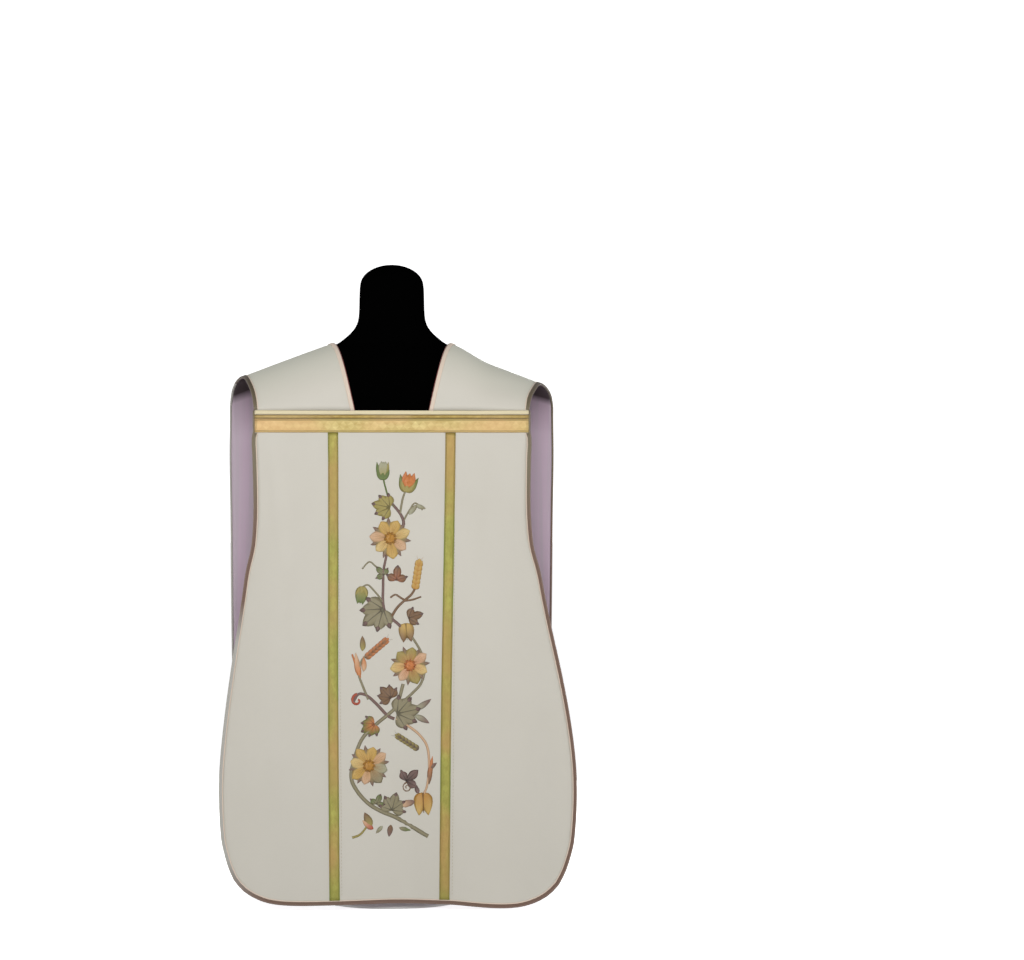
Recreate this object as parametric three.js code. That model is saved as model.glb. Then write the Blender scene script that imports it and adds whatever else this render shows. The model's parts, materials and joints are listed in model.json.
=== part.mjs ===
// A fiddleback chasuble standing on a plain black dress form.
// Millimetres, +Z up. The origin is on the floor below the middle of the neck.
// The front faces -Y and the width lies along X. Heights in the tables are above the hem.
import * as THREE from 'three';

// Where the cloth is
const HEM_HEIGHT = 12;          // floor to height 0 of the tables
const RIDGE_TOP = 1148.3;       // height the shoulder lines point at
const RIDGE_FALL = 0.39;        // fall of the shoulder for each unit of width
const RIDGE_ROUND = 60;         // softens the meeting of the two shoulder lines
const FRONT_ROUND = 120;        // radius of the cloth over the shoulder, chest side
const BACK_ROUND = 110;         // and back side
const SEAM_HEIGHT = 962;        // straps end here and the front panel starts
const SEAM_GAP = 0.3;
const NORMAL_STEP = 0.5;        // either side of a point, to find which way the cloth faces

// Layers, measured outwards from the cloth's inner face
const LINING = { inner: -1.4, outer: -0.3 };
const CLOTH = { inner: 0, outer: 1.2 };
const TRIM = { inner: 1.5, outer: 2.7 };
const BRAID_WIDTH = 8;

// Hang of the front panel: how far it stands forward and how its sides turn back
const FRONT_HANG = { from: 930, flare: 42, curl: 38, curlWidth: 340 };
const BACK_HANG = { from: 900, flare: 32, curl: 34, curlWidth: 330 };
// Soft vertical folds: where, how wide, how deep (+ is outwards), and the height they die out at
const FRONT_FOLDS = [
  { at: -222, width: 46, depth: 7, top: 830 },
  { at: -130, width: 60, depth: 6, top: 700 },
  { at: 42, width: 74, depth: -13, top: 640 },
  { at: 158, width: 52, depth: 7, top: 760 },
  { at: 246, width: 44, depth: -6, top: 820 },
];
const BACK_FOLDS = [
  { at: -236, width: 48, depth: 7, top: 800 },
  { at: -60, width: 70, depth: -7, top: 560 },
  { at: 120, width: 64, depth: 6, top: 640 },
  { at: 232, width: 46, depth: 8, top: 860 },
];
// The front hangs a little askew: the middle drifts left and the sides drift right
const SWAY = { middle: -6, sides: 12, halfWidth: 345, quick: 1.5 };
// The right shoulder droops beyond the neck, and the hem hangs lower at the right corner
const DROOP = { from: 118, over: 80, depth: 13, low: 962, high: 1030 };
const HEM_DROP = { from: 110, over: 170, depth: 13, top: 260 };

// Half widths of the front panel's edge
const FRONT_SIDE = [
  { z: 47, half: 316 }, { z: 68, half: 327 }, { z: 97, half: 337 }, { z: 127, half: 344 },
  { z: 203, half: 349 }, { z: 273, half: 347 }, { z: 361, half: 337 }, { z: 448, half: 323 },
  { z: 548, half: 304 }, { z: 599, half: 295 }, { z: 651, half: 286 }, { z: 702, half: 271 },
  { z: 755, half: 264.5 }, { z: 860, half: 265 }, { z: 920, half: 267.5 }, { z: SEAM_HEIGHT, half: 268 },
];
const FRONT_HEM = [
  { x: 0, z: 3 }, { x: 117, z: 1 }, { x: 190, z: 0 }, { x: 240, z: 4 },
  { x: 273, z: 14 }, { x: 299, z: 29 }, { x: 316, z: 47 },
];
// Half widths of the back's edge, up to where the shoulder starts to turn over
const BACK_SIDE = [
  { z: 52, half: 281 }, { z: 70, half: 291 }, { z: 90, half: 298 }, { z: 118, half: 303 },
  { z: 175, half: 308 }, { z: 250, half: 312 }, { z: 330, half: 316 }, { z: 460, half: 320 },
  { z: 600, half: 322 }, { z: 760, half: 324 }, { z: 880, half: 326 }, { z: 990, half: 324 },
];
const BACK_HEM = [
  { x: 0, z: 2 }, { x: 106, z: 2 }, { x: 190, z: 9 }, { x: 232, z: 19 },
  { x: 260, z: 34 }, { x: 281, z: 52 },
];
// Outer edge of a strap, along the cloth from the shoulder line (- is down the front)
const STRAP_SIDE = [
  { s: -160, half: 267 }, { s: -114, half: 272 }, { s: -61, half: 284.5 }, { s: -25, half: 293 },
  { s: 0, half: 300 }, { s: 30, half: 310 }, { s: 62, half: 319 }, { s: 100, half: 324 },
];
// Neck opening: straight front edges, a round dip at the back
const NECK = { ridgeHalf: 119, seamHalf: 73, backDip: 114, bend: 2.2 };

// Galloons
const GALLOON_WIDTH = 20;
const BAND = { low: 919, high: 946 };                   // across the chest
const FRONT_COLUMN = { top: 115, bottom: 106.75 };      // half distance of the upright galloons
const CROSS = { low: 61, armLow: 593, armHigh: 813, high: 1022, arm: 277, top: 115, bottom: 106 };

// The dress form
const FORM_GAP = 3.4;           // from the cloth's inner face to the form, lining included
const FORM_SQUARE = 2.6;        // squareness of its sections
const FORM_SIDES = 32;
const FORM_BODY = [
  { z: 498, half: 128, deep: 70 }, { z: 503, half: 140, deep: 80 }, { z: 518, half: 150, deep: 90 },
  { z: 570, half: 160, deep: 96 }, { z: 650, half: 148, deep: 90 }, { z: 730, half: 134, deep: 82 },
  { z: 800, half: 142, deep: 88 }, { z: 860, half: 154, deep: 96 }, { z: 930, half: 176, deep: 108 },
  { z: 965, half: 190, deep: 116 }, { z: 1000, half: 206, deep: 124 }, { z: 1030, half: 214, deep: 132 },
  { z: 1045, half: 212, deep: 132 }, { z: 1059, half: 206, deep: 132 }, { z: 1072, half: 196, deep: 132 },
  { z: 1140, half: 180, deep: 132 },
];
const FORM_NECK = [
  { z: 1085, half: 60 }, { z: 1098, half: 106 }, { z: 1106, half: 97 }, { z: 1117, half: 83 },
  { z: 1129, half: 73 }, { z: 1142, half: 67 }, { z: 1160, half: 65 }, { z: 1212, half: 65 },
];
const FORM_NECK_FLAT = 0.2;     // the neck's flare is less towards front and back
const FORM_CAP = { from: 1212, top: 1255 };
const FORM_SHOULDER = { from: 990, to: 1106, steps: 15 };
const FORM_NECK_RINGS = [1117, 1129, 1142, 1162, 1212];
const FORM_CAP_TURNS = [0.35, 0.62, 0.82, 0.95];
const FORM_REACH = 260;         // wider than any of its sections
const RIDGE_SLANT = 1.08;       // a gap square to the sloping shoulder, measured upright
const HALVINGS = 40;            // steps in the search for a section's edge
const POLE = { radius: 14, gap: 0.3, sides: 20 };
const BASE = { radius: 135, thick: 9, rim: 4, slope: 8, sides: 40 };

const COLOURS = {
  cloth: '#cdc8bd', backCloth: '#d2d6c6', lining: '#bcafbf', galloon: '#a5964a',
  band: '#cdb46e', braid: '#a9705f', form: '#070707', stand: '#dddcd9',
};

const clamp = (value, low, high) => Math.min(high, Math.max(low, value));
const mix = (a, b, t) => a + (b - a) * t;
const ease = (t) => {
  const u = clamp(t, 0, 1);
  return u * u * (3 - 2 * u);
};

// Reads a table whose first named column rises down its rows
function lookUp(rows, key, column, value) {
  const last = rows.length - 1;
  if (value <= rows[0][key]) return rows[0][column];
  if (value >= rows[last][key]) return rows[last][column];
  const i = rows.findIndex((row) => row[key] > value) - 1;
  const t = (value - rows[i][key]) / (rows[i + 1][key] - rows[i][key]);
  const slope = (k) => {
    const a = rows[Math.max(k - 1, 0)];
    const b = rows[Math.min(k + 1, last)];
    return (b[column] - a[column]) / (b[key] - a[key]);
  };
  const span = rows[i + 1][key] - rows[i][key];
  const startPull = (t ** 3 - 2 * t ** 2 + t) * slope(i) * span;
  const endPull = (t ** 3 - t ** 2) * slope(i + 1) * span;
  const blend = 3 * t ** 2 - 2 * t ** 3;
  return mix(rows[i][column], rows[i + 1][column], blend) + startPull + endPull;
}

// The cloth as one surface. x is the width, s the way along the cloth
// from the shoulder line: negative down the front and positive down the back.

const ridge = (x) => RIDGE_TOP - RIDGE_FALL * Math.hypot(x, RIDGE_ROUND);

function folds(rows, x, z) {
  let sum = 0;
  for (const fold of rows) {
    sum += fold.depth * Math.exp(-(((x - fold.at) / fold.width) ** 2)) * ease((fold.top - z) / fold.top);
  }
  return sum;
}

function standOff(hang, rows, x, z) {
  const t = clamp((hang.from - z) / hang.from, 0, 1);
  const turnBack = hang.curl * (Math.abs(x) / hang.curlWidth) ** 3 * ease(2 * t);
  return hang.flare * t * (0.4 + 0.6 * ease(2 * t)) - turnBack + folds(rows, x, z);
}

// How far the cloth has sunk, at a place given by its height before it sank
const droop = (x, z) => DROOP.depth * ease((x - DROOP.from) / DROOP.over)
  * ease((z - DROOP.low) / (DROOP.high - DROOP.low));
const hemDrop = (x, z) => HEM_DROP.depth * ease((x - HEM_DROP.from) / HEM_DROP.over)
  * ease((HEM_DROP.top - z) / HEM_DROP.top);

function clothPoint(x, s) {
  const front = s < 0;
  const radius = front ? FRONT_ROUND : BACK_ROUND;
  const turn = Math.min(Math.abs(s) / radius, Math.PI / 2);
  const straight = Math.max(0, Math.abs(s) - radius * Math.PI / 2);
  const z = ridge(x) - radius * (1 - Math.cos(turn)) - straight;
  const hang = front ? standOff(FRONT_HANG, FRONT_FOLDS, x, z) : standOff(BACK_HANG, BACK_FOLDS, x, z);
  const out = radius * Math.sin(turn) + hang;
  const down = front ? ease(SWAY.quick * (FRONT_HANG.from - z) / FRONT_HANG.from) : 0;
  const sway = down * mix(SWAY.middle, SWAY.sides, (x / SWAY.halfWidth) ** 2);
  const sunk = droop(x, z) + (front ? hemDrop(x, z) : 0);
  return new THREE.Vector3(x + sway, front ? -out : out, z + HEM_HEIGHT - sunk);
}

function clothNormal(x, s) {
  const step = NORMAL_STEP;
  const across = clothPoint(x + step, s).sub(clothPoint(x - step, s));
  const along = clothPoint(x, s + step).sub(clothPoint(x, s - step));
  return across.cross(along).normalize();
}

// The way along the cloth to a height, on the front (-1) or the back (+1)
function wayTo(x, z, side) {
  const radius = side < 0 ? FRONT_ROUND : BACK_ROUND;
  const fall = ridge(x) - z;
  if (fall < radius) return side * radius * Math.acos(1 - fall / radius);
  return side * (radius * Math.PI / 2 + fall - radius);
}

// A sewing pattern: points on the cloth and four-sided cells between them

class Pattern {
  constructor() {
    this.points = [];
    this.cells = [];
    this.index = new Map();
  }

  point(x, s) {
    const key = `${Math.round(x * 1e4)},${Math.round(s * 1e4)}`;
    if (!this.index.has(key)) {
      this.index.set(key, this.points.length);
      this.points.push({ x, s });
    }
    return this.index.get(key);
  }

  // The cell and its mirror image, each turned to face outwards
  cell(corners, tag) {
    for (const side of [1, -1]) {
      let ring = corners.map(({ x, s }) => this.point(x * side + 0, s));
      let area = 0;
      ring.forEach((id, k) => {
        const p = this.points[id];
        const q = this.points[ring[(k + 1) % 4]];
        area += p.x * q.s - q.x * p.s;
      });
      if (area < 0) ring = [ring[1], ring[0], ring[3], ring[2]];
      this.cells.push({ ring, tag, side });
    }
  }

  // Cells between two rows of points
  strip(low, high, tagOf) {
    for (let k = 0; k + 1 < low.length; k += 1) {
      this.cell([low[k], low[k + 1], high[k + 1], high[k]], tagOf(k));
    }
  }
}

// Moves a line of points sideways, to the left (+1) or right (-1) of its direction
function inset(line, distance, hand, endAt) {
  return line.map((point, k) => {
    if (k === line.length - 1) return endAt(point, distance);
    const before = k === 0 ? { x: -line[1].x, s: line[1].s } : line[k - 1];
    const after = line[k + 1];
    const normals = [[before, point], [point, after]].map(([a, b]) => {
      const length = Math.hypot(b.x - a.x, b.s - a.s);
      return { x: -hand * (b.s - a.s) / length, s: hand * (b.x - a.x) / length };
    });
    const [n, m] = normals;
    const scale = distance / (1 + n.x * m.x + n.s * m.s);
    return { x: point.x + (n.x + m.x) * scale, s: point.s + (n.s + m.s) * scale };
  });
}

// A closed wall over the chosen cells, between two distances from the surface
function wall(pattern, chosen, layer) {
  const places = [];
  const places3 = new Map();
  const corner = (id, outer) => {
    const key = id * 2 + (outer ? 1 : 0);
    if (!places3.has(key)) {
      const { x, s } = pattern.points[id];
      const out = outer ? layer.outer : layer.inner;
      const place = clothPoint(x, s).addScaledVector(clothNormal(x, s), out);
      places3.set(key, places.length / 3);
      places.push(place.x, place.y, place.z);
    }
    return places3.get(key);
  };
  const edges = new Set();
  for (const { ring } of chosen) {
    ring.forEach((id, k) => edges.add(`${id}>${ring[(k + 1) % 4]}`));
  }
  const faces = [];
  for (const { ring } of chosen) {
    const [a, b, c, d] = ring.map((id) => corner(id, true));
    const [e, f, g, h] = ring.map((id) => corner(id, false));
    faces.push(a, b, c, a, c, d);
    faces.push(e, g, f, e, h, g);
    ring.forEach((id, k) => {
      const next = ring[(k + 1) % 4];
      if (edges.has(`${next}>${id}`)) return;
      const [p, q, u, v] = [corner(id, true), corner(id, false), corner(next, false), corner(next, true)];
      faces.push(p, q, u, p, u, v);
    });
  }
  const geometry = new THREE.BufferGeometry();
  geometry.setAttribute('position', new THREE.Float32BufferAttribute(places, 3));
  geometry.setIndex(faces);
  return geometry;
}

// The front panel's pattern

const FRONT_LINES = [0, 0.34, 0.68];    // between the middle and the galloon's inner edge
const FRONT_OUTER = [0.26, 0.5, 0.7, 0.87];  // between the galloon's outer edge and the braid
const FRONT_ROWS = [36, 90, 150, 215, 290, 365, 440, 515, 590, 650, 705, 770, 845,
  BAND.low - SEAM_GAP, BAND.low, BAND.high, BAND.high + SEAM_GAP];
const CALM_HEIGHT = 215;                // rows are level from here up

function frontPattern() {
  const pattern = new Pattern();
  const rows = [0, ...FRONT_ROWS, SEAM_HEIGHT];
  const top = rows.length - 1;
  const halfGalloon = GALLOON_WIDTH / 2;
  const columnAt = (z) => mix(FRONT_COLUMN.bottom, FRONT_COLUMN.top, clamp(z / BAND.low, 0, 1));
  const lineX = (j, z) => {
    const inner = columnAt(z) - halfGalloon;
    if (j < FRONT_LINES.length) return inner * FRONT_LINES[j];
    return inner + (j - FRONT_LINES.length) * GALLOON_WIDTH;
  };
  const outerLine = FRONT_LINES.length + 1;
  const last = outerLine + FRONT_OUTER.length + 1;
  const share = (j) => (j === last ? 1 : FRONT_OUTER[j - outerLine - 1]);
  const cornerX = FRONT_HEM[FRONT_HEM.length - 1].x;
  const cornerZ = FRONT_HEM[FRONT_HEM.length - 1].z;
  const sideZ = (z) => (z > CALM_HEIGHT ? z : mix(cornerZ, CALM_HEIGHT, z / CALM_HEIGHT));

  const outline = [];
  for (let j = 0; j <= last; j += 1) {
    const x = j <= outerLine ? lineX(j, 0) : mix(lineX(outerLine, 0), cornerX, share(j));
    outline.push({ x, s: lookUp(FRONT_HEM, 'x', 'z', x) });
  }
  for (let i = 1; i <= top; i += 1) {
    outline.push({ x: lookUp(FRONT_SIDE, 'z', 'half', sideZ(rows[i])), s: sideZ(rows[i]) });
  }
  for (let j = last - 1; j >= 0; j -= 1) {
    const edge = outline[last + top].x;
    const x = j <= outerLine ? lineX(j, BAND.high) : mix(lineX(outerLine, BAND.high), edge, share(j));
    outline.push({ x, s: SEAM_HEIGHT });
  }
  // Here s stands for height, and the half outline ends on the middle line
  const endAt = (point, distance) => ({ x: 0, s: point.s - distance });
  const loops = [0, BRAID_WIDTH, BRAID_WIDTH + SEAM_GAP].map((d) => {
    const line = inset(outline, d, 1, endAt);
    return line.map((p, k) => (k > last + top && k < line.length - 1 ? { x: p.x, s: SEAM_HEIGHT - d } : p));
  });
  const onCloth = ({ x, s }) => ({ x, s: wayTo(x, s, -1) });

  const border = loops[2];
  const grid = [];
  for (let i = 0; i <= top; i += 1) {
    const row = [];
    for (let j = 0; j <= last; j += 1) {
      const low = border[j];
      if (i === 0) row.push(low);
      else if (j === last) row.push(border[last + i]);
      else if (i === top) row.push(border[border.length - 1 - j]);
      else {
        const z = rows[i] > CALM_HEIGHT ? rows[i] : mix(low.s, CALM_HEIGHT, rows[i] / CALM_HEIGHT);
        const fixed = lineX(Math.min(j, outerLine), z);
        const x = j <= outerLine ? fixed : mix(fixed, border[last + i].x, share(j));
        row.push({ x, s: z });
      }
    }
    grid.push(row.map(onCloth));
  }
  const bandRow = rows.indexOf(BAND.low);
  for (let i = 0; i < top; i += 1) {
    pattern.strip(grid[i], grid[i + 1], (j) => {
      if (i === bandRow) return 'band';
      if (j === FRONT_LINES.length && i < bandRow - 1) return 'galloon';
      return 'plain';
    });
  }
  const [edge, inner, field] = loops.map((line) => line.map(onCloth));
  const alongBorder = (k) => {
    const i = k - last;
    if (i === bandRow) return 'band';
    if (i === bandRow - 1 || i === bandRow + 1) return 'plain';
    return i > bandRow ? 'seamBraid' : 'edgeBraid';
  };
  pattern.strip(edge, inner, alongBorder);
  pattern.strip(inner, field, (k) => (alongBorder(k) === 'band' ? 'band' : 'plain'));
  return pattern;
}

// The pattern of the back with its two straps

const BACK_LINES = [0, 0.36, 0.7];                  // share of the galloon's inner edge
const BACK_OUTER = [165, 212, 257, CROSS.arm, 300]; // lines beyond the galloon
const BACK_ROWS = [26, CROSS.low, CROSS.low + GALLOON_WIDTH, 160, 240, 325, 410, 500, CROSS.armLow,
  CROSS.armLow + GALLOON_WIDTH, 675, 735, CROSS.armHigh - GALLOON_WIDTH, CROSS.armHigh, 875, 940,
  CROSS.high - GALLOON_WIDTH, CROSS.high];
const BACK_CALM = 240;
const BACK_SLOPE_FROM = 813;                        // above this rows follow the shoulder
const NECK_POINTS = [0, 34, 66, 88];                // across the back of the neck, to its corner
const STRAP_ROWS = 15;
const UPPER_ROWS = 2;                               // rows between the cross and the neck's corner

function neckEdge(s) {
  if (s > 0) return NECK.ridgeHalf * (1 - (s / NECK.backDip) ** NECK.bend) ** (1 / NECK.bend);
  const seam = wayTo(NECK.seamHalf, SEAM_HEIGHT, -1);
  return mix(NECK.ridgeHalf, NECK.seamHalf, s / seam);
}

function backPattern() {
  const pattern = new Pattern();
  const rows = [0, ...BACK_ROWS];
  const crossTop = rows.length - 1;
  const top = crossTop + 1 + UPPER_ROWS; // the row through the neck's corner
  const seamHeight = SEAM_HEIGHT + SEAM_GAP;
  const seam = (x) => wayTo(x, seamHeight, -1);
  const innerLine = BACK_LINES.length;
  const outerLine = innerLine + 1;
  const last = outerLine + BACK_OUTER.length + 1;
  const inEdge = BRAID_WIDTH + SEAM_GAP;
  const fullHalf = lookUp(BACK_SIDE, 'z', 'half', 700) - inEdge;
  const outerSpan = fullHalf - CROSS.top;
  const share = (j) => (j === last ? 1 : (BACK_OUTER[j - outerLine - 1] - CROSS.top) / outerSpan);
  const stemUp = (z) => clamp((z - CROSS.low) / (CROSS.armLow - CROSS.low), 0, 1);
  const crossHalf = (z) => mix(CROSS.bottom, CROSS.top, stemUp(z));
  const lineX = (j, z) => {
    const outer = crossHalf(z);
    if (j < innerLine) return (outer - GALLOON_WIDTH) * BACK_LINES[j];
    return outer - (outerLine - j) * GALLOON_WIDTH;
  };
  const corner = BACK_HEM[BACK_HEM.length - 1];
  const sideZ = (z) => (z > BACK_CALM ? z : mix(corner.z, BACK_CALM, z / BACK_CALM));
  // How far a row sinks with the shoulder at a given x
  const sink = (x, z) => {
    const slope = clamp((z - BACK_SLOPE_FROM) / (CROSS.high - GALLOON_WIDTH - BACK_SLOPE_FROM), 0, 1);
    return slope * Math.max(0, ridge(CROSS.top) - ridge(x));
  };

  const outline = [];
  for (let j = 0; j <= last; j += 1) {
    const x = j <= outerLine ? lineX(j, 0) : mix(lineX(outerLine, 0), corner.x, share(j));
    outline.push({ x, s: wayTo(x, lookUp(BACK_HEM, 'x', 'z', x), 1) });
  }
  for (let i = 1; i <= crossTop; i += 1) {
    const height = sideZ(rows[i]);
    const half = lookUp(BACK_SIDE, 'z', 'half', height);
    outline.push({ x: half, s: wayTo(half, height - sink(half, height), 1) });
  }
  const turnOver = STRAP_SIDE[STRAP_SIDE.length - 1];
  const crossEnd = outline[outline.length - 1];
  for (let i = 1; i <= UPPER_ROWS; i += 1) {
    const t = i / (UPPER_ROWS + 1);
    outline.push({ x: mix(crossEnd.x, turnOver.half, t), s: mix(crossEnd.s, turnOver.s, t) });
  }
  const sideSeam = seam(STRAP_SIDE[0].half);
  for (let k = 0; k <= STRAP_ROWS; k += 1) {
    const s = mix(turnOver.s, sideSeam, k / STRAP_ROWS);
    const x = lookUp(STRAP_SIDE, 's', 'half', s);
    outline.push({ x, s: k === STRAP_ROWS ? seam(x) : s });
  }
  const neckWay = (x) => NECK.backDip * (1 - (x / NECK.ridgeHalf) ** NECK.bend) ** (1 / NECK.bend);
  const neckline = NECK_POINTS.map((x) => ({ x, s: neckWay(x) }));
  const neckStart = neckline[neckline.length - 1].s;
  for (let k = 1; k <= STRAP_ROWS; k += 1) {
    const s = mix(neckStart, seam(NECK.seamHalf), k / STRAP_ROWS);
    neckline.push({ x: neckEdge(s), s });
  }
  const distances = [0, BRAID_WIDTH, inEdge];
  const onSeam = (x) => ({ x, s: seam(x) });
  const sideLoops = distances.map((d) => inset(outline, d, -1, (p, off) => onSeam(p.x - off)));
  const neckLoops = distances.map((d) => inset(neckline, d, 1, (p, off) => onSeam(p.x + off)));

  const border = sideLoops[2];
  const neck = neckLoops[2];
  const cornerShare = (j) => {
    const full = fullHalf - lineX(innerLine, CROSS.high);
    const x = j === outerLine ? CROSS.top : CROSS.top + share(j) * outerSpan;
    return (x - lineX(innerLine, CROSS.high)) / full;
  };
  const strapPoint = (j, k) => {
    const a = neck[innerLine + k];
    const b = border[last + top + k];
    const t = cornerShare(j);
    const x = mix(a.x, b.x, t);
    return { x, s: k === STRAP_ROWS ? seam(x) : mix(a.s, b.s, t) };
  };
  const topPoint = (j) => (j <= innerLine ? neck[j] : strapPoint(j, 0));
  const grid = [];
  for (let i = 0; i <= top; i += 1) {
    const row = [];
    for (let j = 0; j <= last; j += 1) {
      const low = border[j];
      if (i === 0) row.push(low);
      else if (j === last) row.push(border[last + i]);
      else if (i > crossTop) {
        const [from, to] = [grid[crossTop][j], topPoint(j)];
        const t = (i - crossTop) / (top - crossTop);
        row.push({ x: mix(from.x, to.x, t), s: mix(from.s, to.s, t) });
      } else {
        const lowZ = ridge(low.x) - BACK_ROUND - (low.s - BACK_ROUND * Math.PI / 2);
        const z = rows[i] > BACK_CALM ? rows[i] : mix(lowZ, BACK_CALM, rows[i] / BACK_CALM);
        const level = j <= innerLine + 1 && rows[i] <= CROSS.low + GALLOON_WIDTH ? rows[i] : z;
        const fixed = lineX(Math.min(j, outerLine), level);
        const inArm = rows[i] >= CROSS.armLow && rows[i] <= CROSS.armHigh;
        const beyond = inArm ? BACK_OUTER[j - outerLine - 1] : mix(fixed, border[last + i].x, share(j));
        const x = j <= outerLine ? fixed : beyond;
        row.push({ x, s: wayTo(x, level - sink(x, level), 1) });
      }
    }
    grid.push(row);
  }
  const rowOf = (z) => rows.indexOf(z);
  const low = rowOf(CROSS.low);
  const armLow = rowOf(CROSS.armLow);
  const armHigh = rowOf(CROSS.armHigh);
  const high = rowOf(CROSS.high);
  const armEnd = outerLine + BACK_OUTER.indexOf(CROSS.arm);
  const inCross = (j, i) => {
    if (j === innerLine && ((i >= low && i <= armLow) || (i >= armHigh - 1 && i < high))) return true;
    if (j < innerLine) return i === low || i === high - 1;
    if (j > armEnd) return false;
    if (j === armEnd && i >= armLow && i < armHigh) return true;
    return i === armLow || i === armHigh - 1;
  };
  for (let i = 0; i < top; i += 1) {
    pattern.strip(grid[i], grid[i + 1], (j) => (inCross(j, i) ? 'cross' : 'plain'));
  }
  const strapRow = (k) => {
    const row = [neck[innerLine + k]];
    for (let j = outerLine; j < last; j += 1) row.push(strapPoint(j, k));
    row.push(border[last + top + k]);
    return row;
  };
  for (let k = 0; k < STRAP_ROWS; k += 1) {
    pattern.strip(strapRow(k), strapRow(k + 1), () => 'plain');
  }
  pattern.strip(sideLoops[0], sideLoops[1], () => 'sideBraid');
  pattern.strip(sideLoops[1], sideLoops[2], () => 'plain');
  pattern.strip(neckLoops[0], neckLoops[1], () => 'neckBraid');
  pattern.strip(neckLoops[1], neckLoops[2], () => 'plain');
  return pattern;
}

// The dress form

function formRadius(angle, z) {
  const [c, s] = [Math.cos(angle), Math.sin(angle)];
  const neckHalf = lookUp(FORM_NECK, 'z', 'half', Math.min(z, FORM_CAP.from));
  const dome = clamp((z - FORM_CAP.from) / (FORM_CAP.top - FORM_CAP.from), 0, 1);
  const wide = neckHalf * Math.sqrt(1 - dome ** 2);
  const straightNeck = FORM_NECK[FORM_NECK.length - 1].half;
  const deep = wide > straightNeck ? mix(straightNeck, wide, FORM_NECK_FLAT) : wide;
  const neck = z < FORM_NECK[1].z ? 0 : 1 / Math.hypot(c / wide, s / deep);
  const radius = (s < 0 ? FRONT_ROUND : BACK_ROUND) - FORM_GAP;
  const half = lookUp(FORM_BODY, 'z', 'half', z);
  const bodyDeep = lookUp(FORM_BODY, 'z', 'deep', z);
  const inside = (r) => {
    const y = Math.abs(r * s);
    if (y >= radius) return false;
    const level = ridge(r * c) - FORM_GAP * RIDGE_SLANT - radius * (1 - Math.sqrt(1 - (y / radius) ** 2));
    const top = level - droop(r * c, level);
    const round = (Math.abs(r * c) / half) ** FORM_SQUARE + (y / bodyDeep) ** FORM_SQUARE;
    return z < top && round < 1;
  };
  let low = 0;
  let high = FORM_REACH;
  for (let k = 0; k < HALVINGS; k += 1) {
    const middle = (low + high) / 2;
    if (inside(middle)) low = middle;
    else high = middle;
  }
  return Math.max(low, neck);
}

function formGeometry() {
  const { from, to, steps } = FORM_SHOULDER;
  const heights = FORM_BODY.map((row) => row.z).filter((z) => z < from);
  for (let k = 0; k <= steps; k += 1) heights.push(mix(from, to, k / steps));
  heights.push(...FORM_NECK_RINGS);
  heights.push(...FORM_CAP_TURNS.map((turn) => mix(FORM_CAP.from, FORM_CAP.top, turn)));
  const places = [];
  for (const z of heights) {
    for (let k = 0; k < FORM_SIDES; k += 1) {
      const angle = (k / FORM_SIDES) * 2 * Math.PI;
      const r = formRadius(angle, z);
      places.push(r * Math.cos(angle), r * Math.sin(angle), z + HEM_HEIGHT);
    }
  }
  const faces = [];
  for (let i = 0; i + 1 < heights.length; i += 1) {
    for (let k = 0; k < FORM_SIDES; k += 1) {
      const a = i * FORM_SIDES + k;
      const b = i * FORM_SIDES + (k + 1) % FORM_SIDES;
      faces.push(a, b, b + FORM_SIDES, a, b + FORM_SIDES, a + FORM_SIDES);
    }
  }
  const ends = [{ start: 0, z: heights[0] }, { start: (heights.length - 1) * FORM_SIDES, z: FORM_CAP.top }];
  for (const { start, z } of ends) {
    const middle = places.length / 3;
    places.push(0, 0, z + HEM_HEIGHT);
    for (let k = 0; k < FORM_SIDES; k += 1) {
      const a = start + k;
      const b = start + (k + 1) % FORM_SIDES;
      faces.push(middle, start ? a : b, start ? b : a);
    }
  }
  const geometry = new THREE.BufferGeometry();
  geometry.setAttribute('position', new THREE.Float32BufferAttribute(places, 3));
  geometry.setIndex(faces);
  return geometry;
}

function poleGeometry() {
  const low = BASE.thick + POLE.gap;
  const high = FORM_BODY[0].z + HEM_HEIGHT - POLE.gap;
  const pole = new THREE.CylinderGeometry(POLE.radius, POLE.radius, high - low, POLE.sides);
  pole.rotateX(Math.PI / 2);
  pole.translate(0, 0, (low + high) / 2);
  return pole;
}

function baseGeometry() {
  const profile = [
    new THREE.Vector2(0, 0),
    new THREE.Vector2(BASE.radius, 0),
    new THREE.Vector2(BASE.radius, BASE.rim),
    new THREE.Vector2(BASE.radius - BASE.slope, BASE.thick),
    new THREE.Vector2(0, BASE.thick),
  ];
  const base = new THREE.LatheGeometry(profile, BASE.sides);
  base.rotateX(Math.PI / 2);
  return base;
}

// Assembly

const chasuble = new THREE.Group();

function add(name, geometry, color, roughness) {
  const mesh = new THREE.Mesh(geometry, new THREE.MeshStandardMaterial({ color, roughness, metalness: 0 }));
  mesh.name = name;
  chasuble.add(mesh);
}

const front = frontPattern();
const back = backPattern();
const tagged = (pattern, tag) => pattern.cells.filter((cell) => cell.tag === tag);
const galloons = tagged(front, 'galloon');

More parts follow.
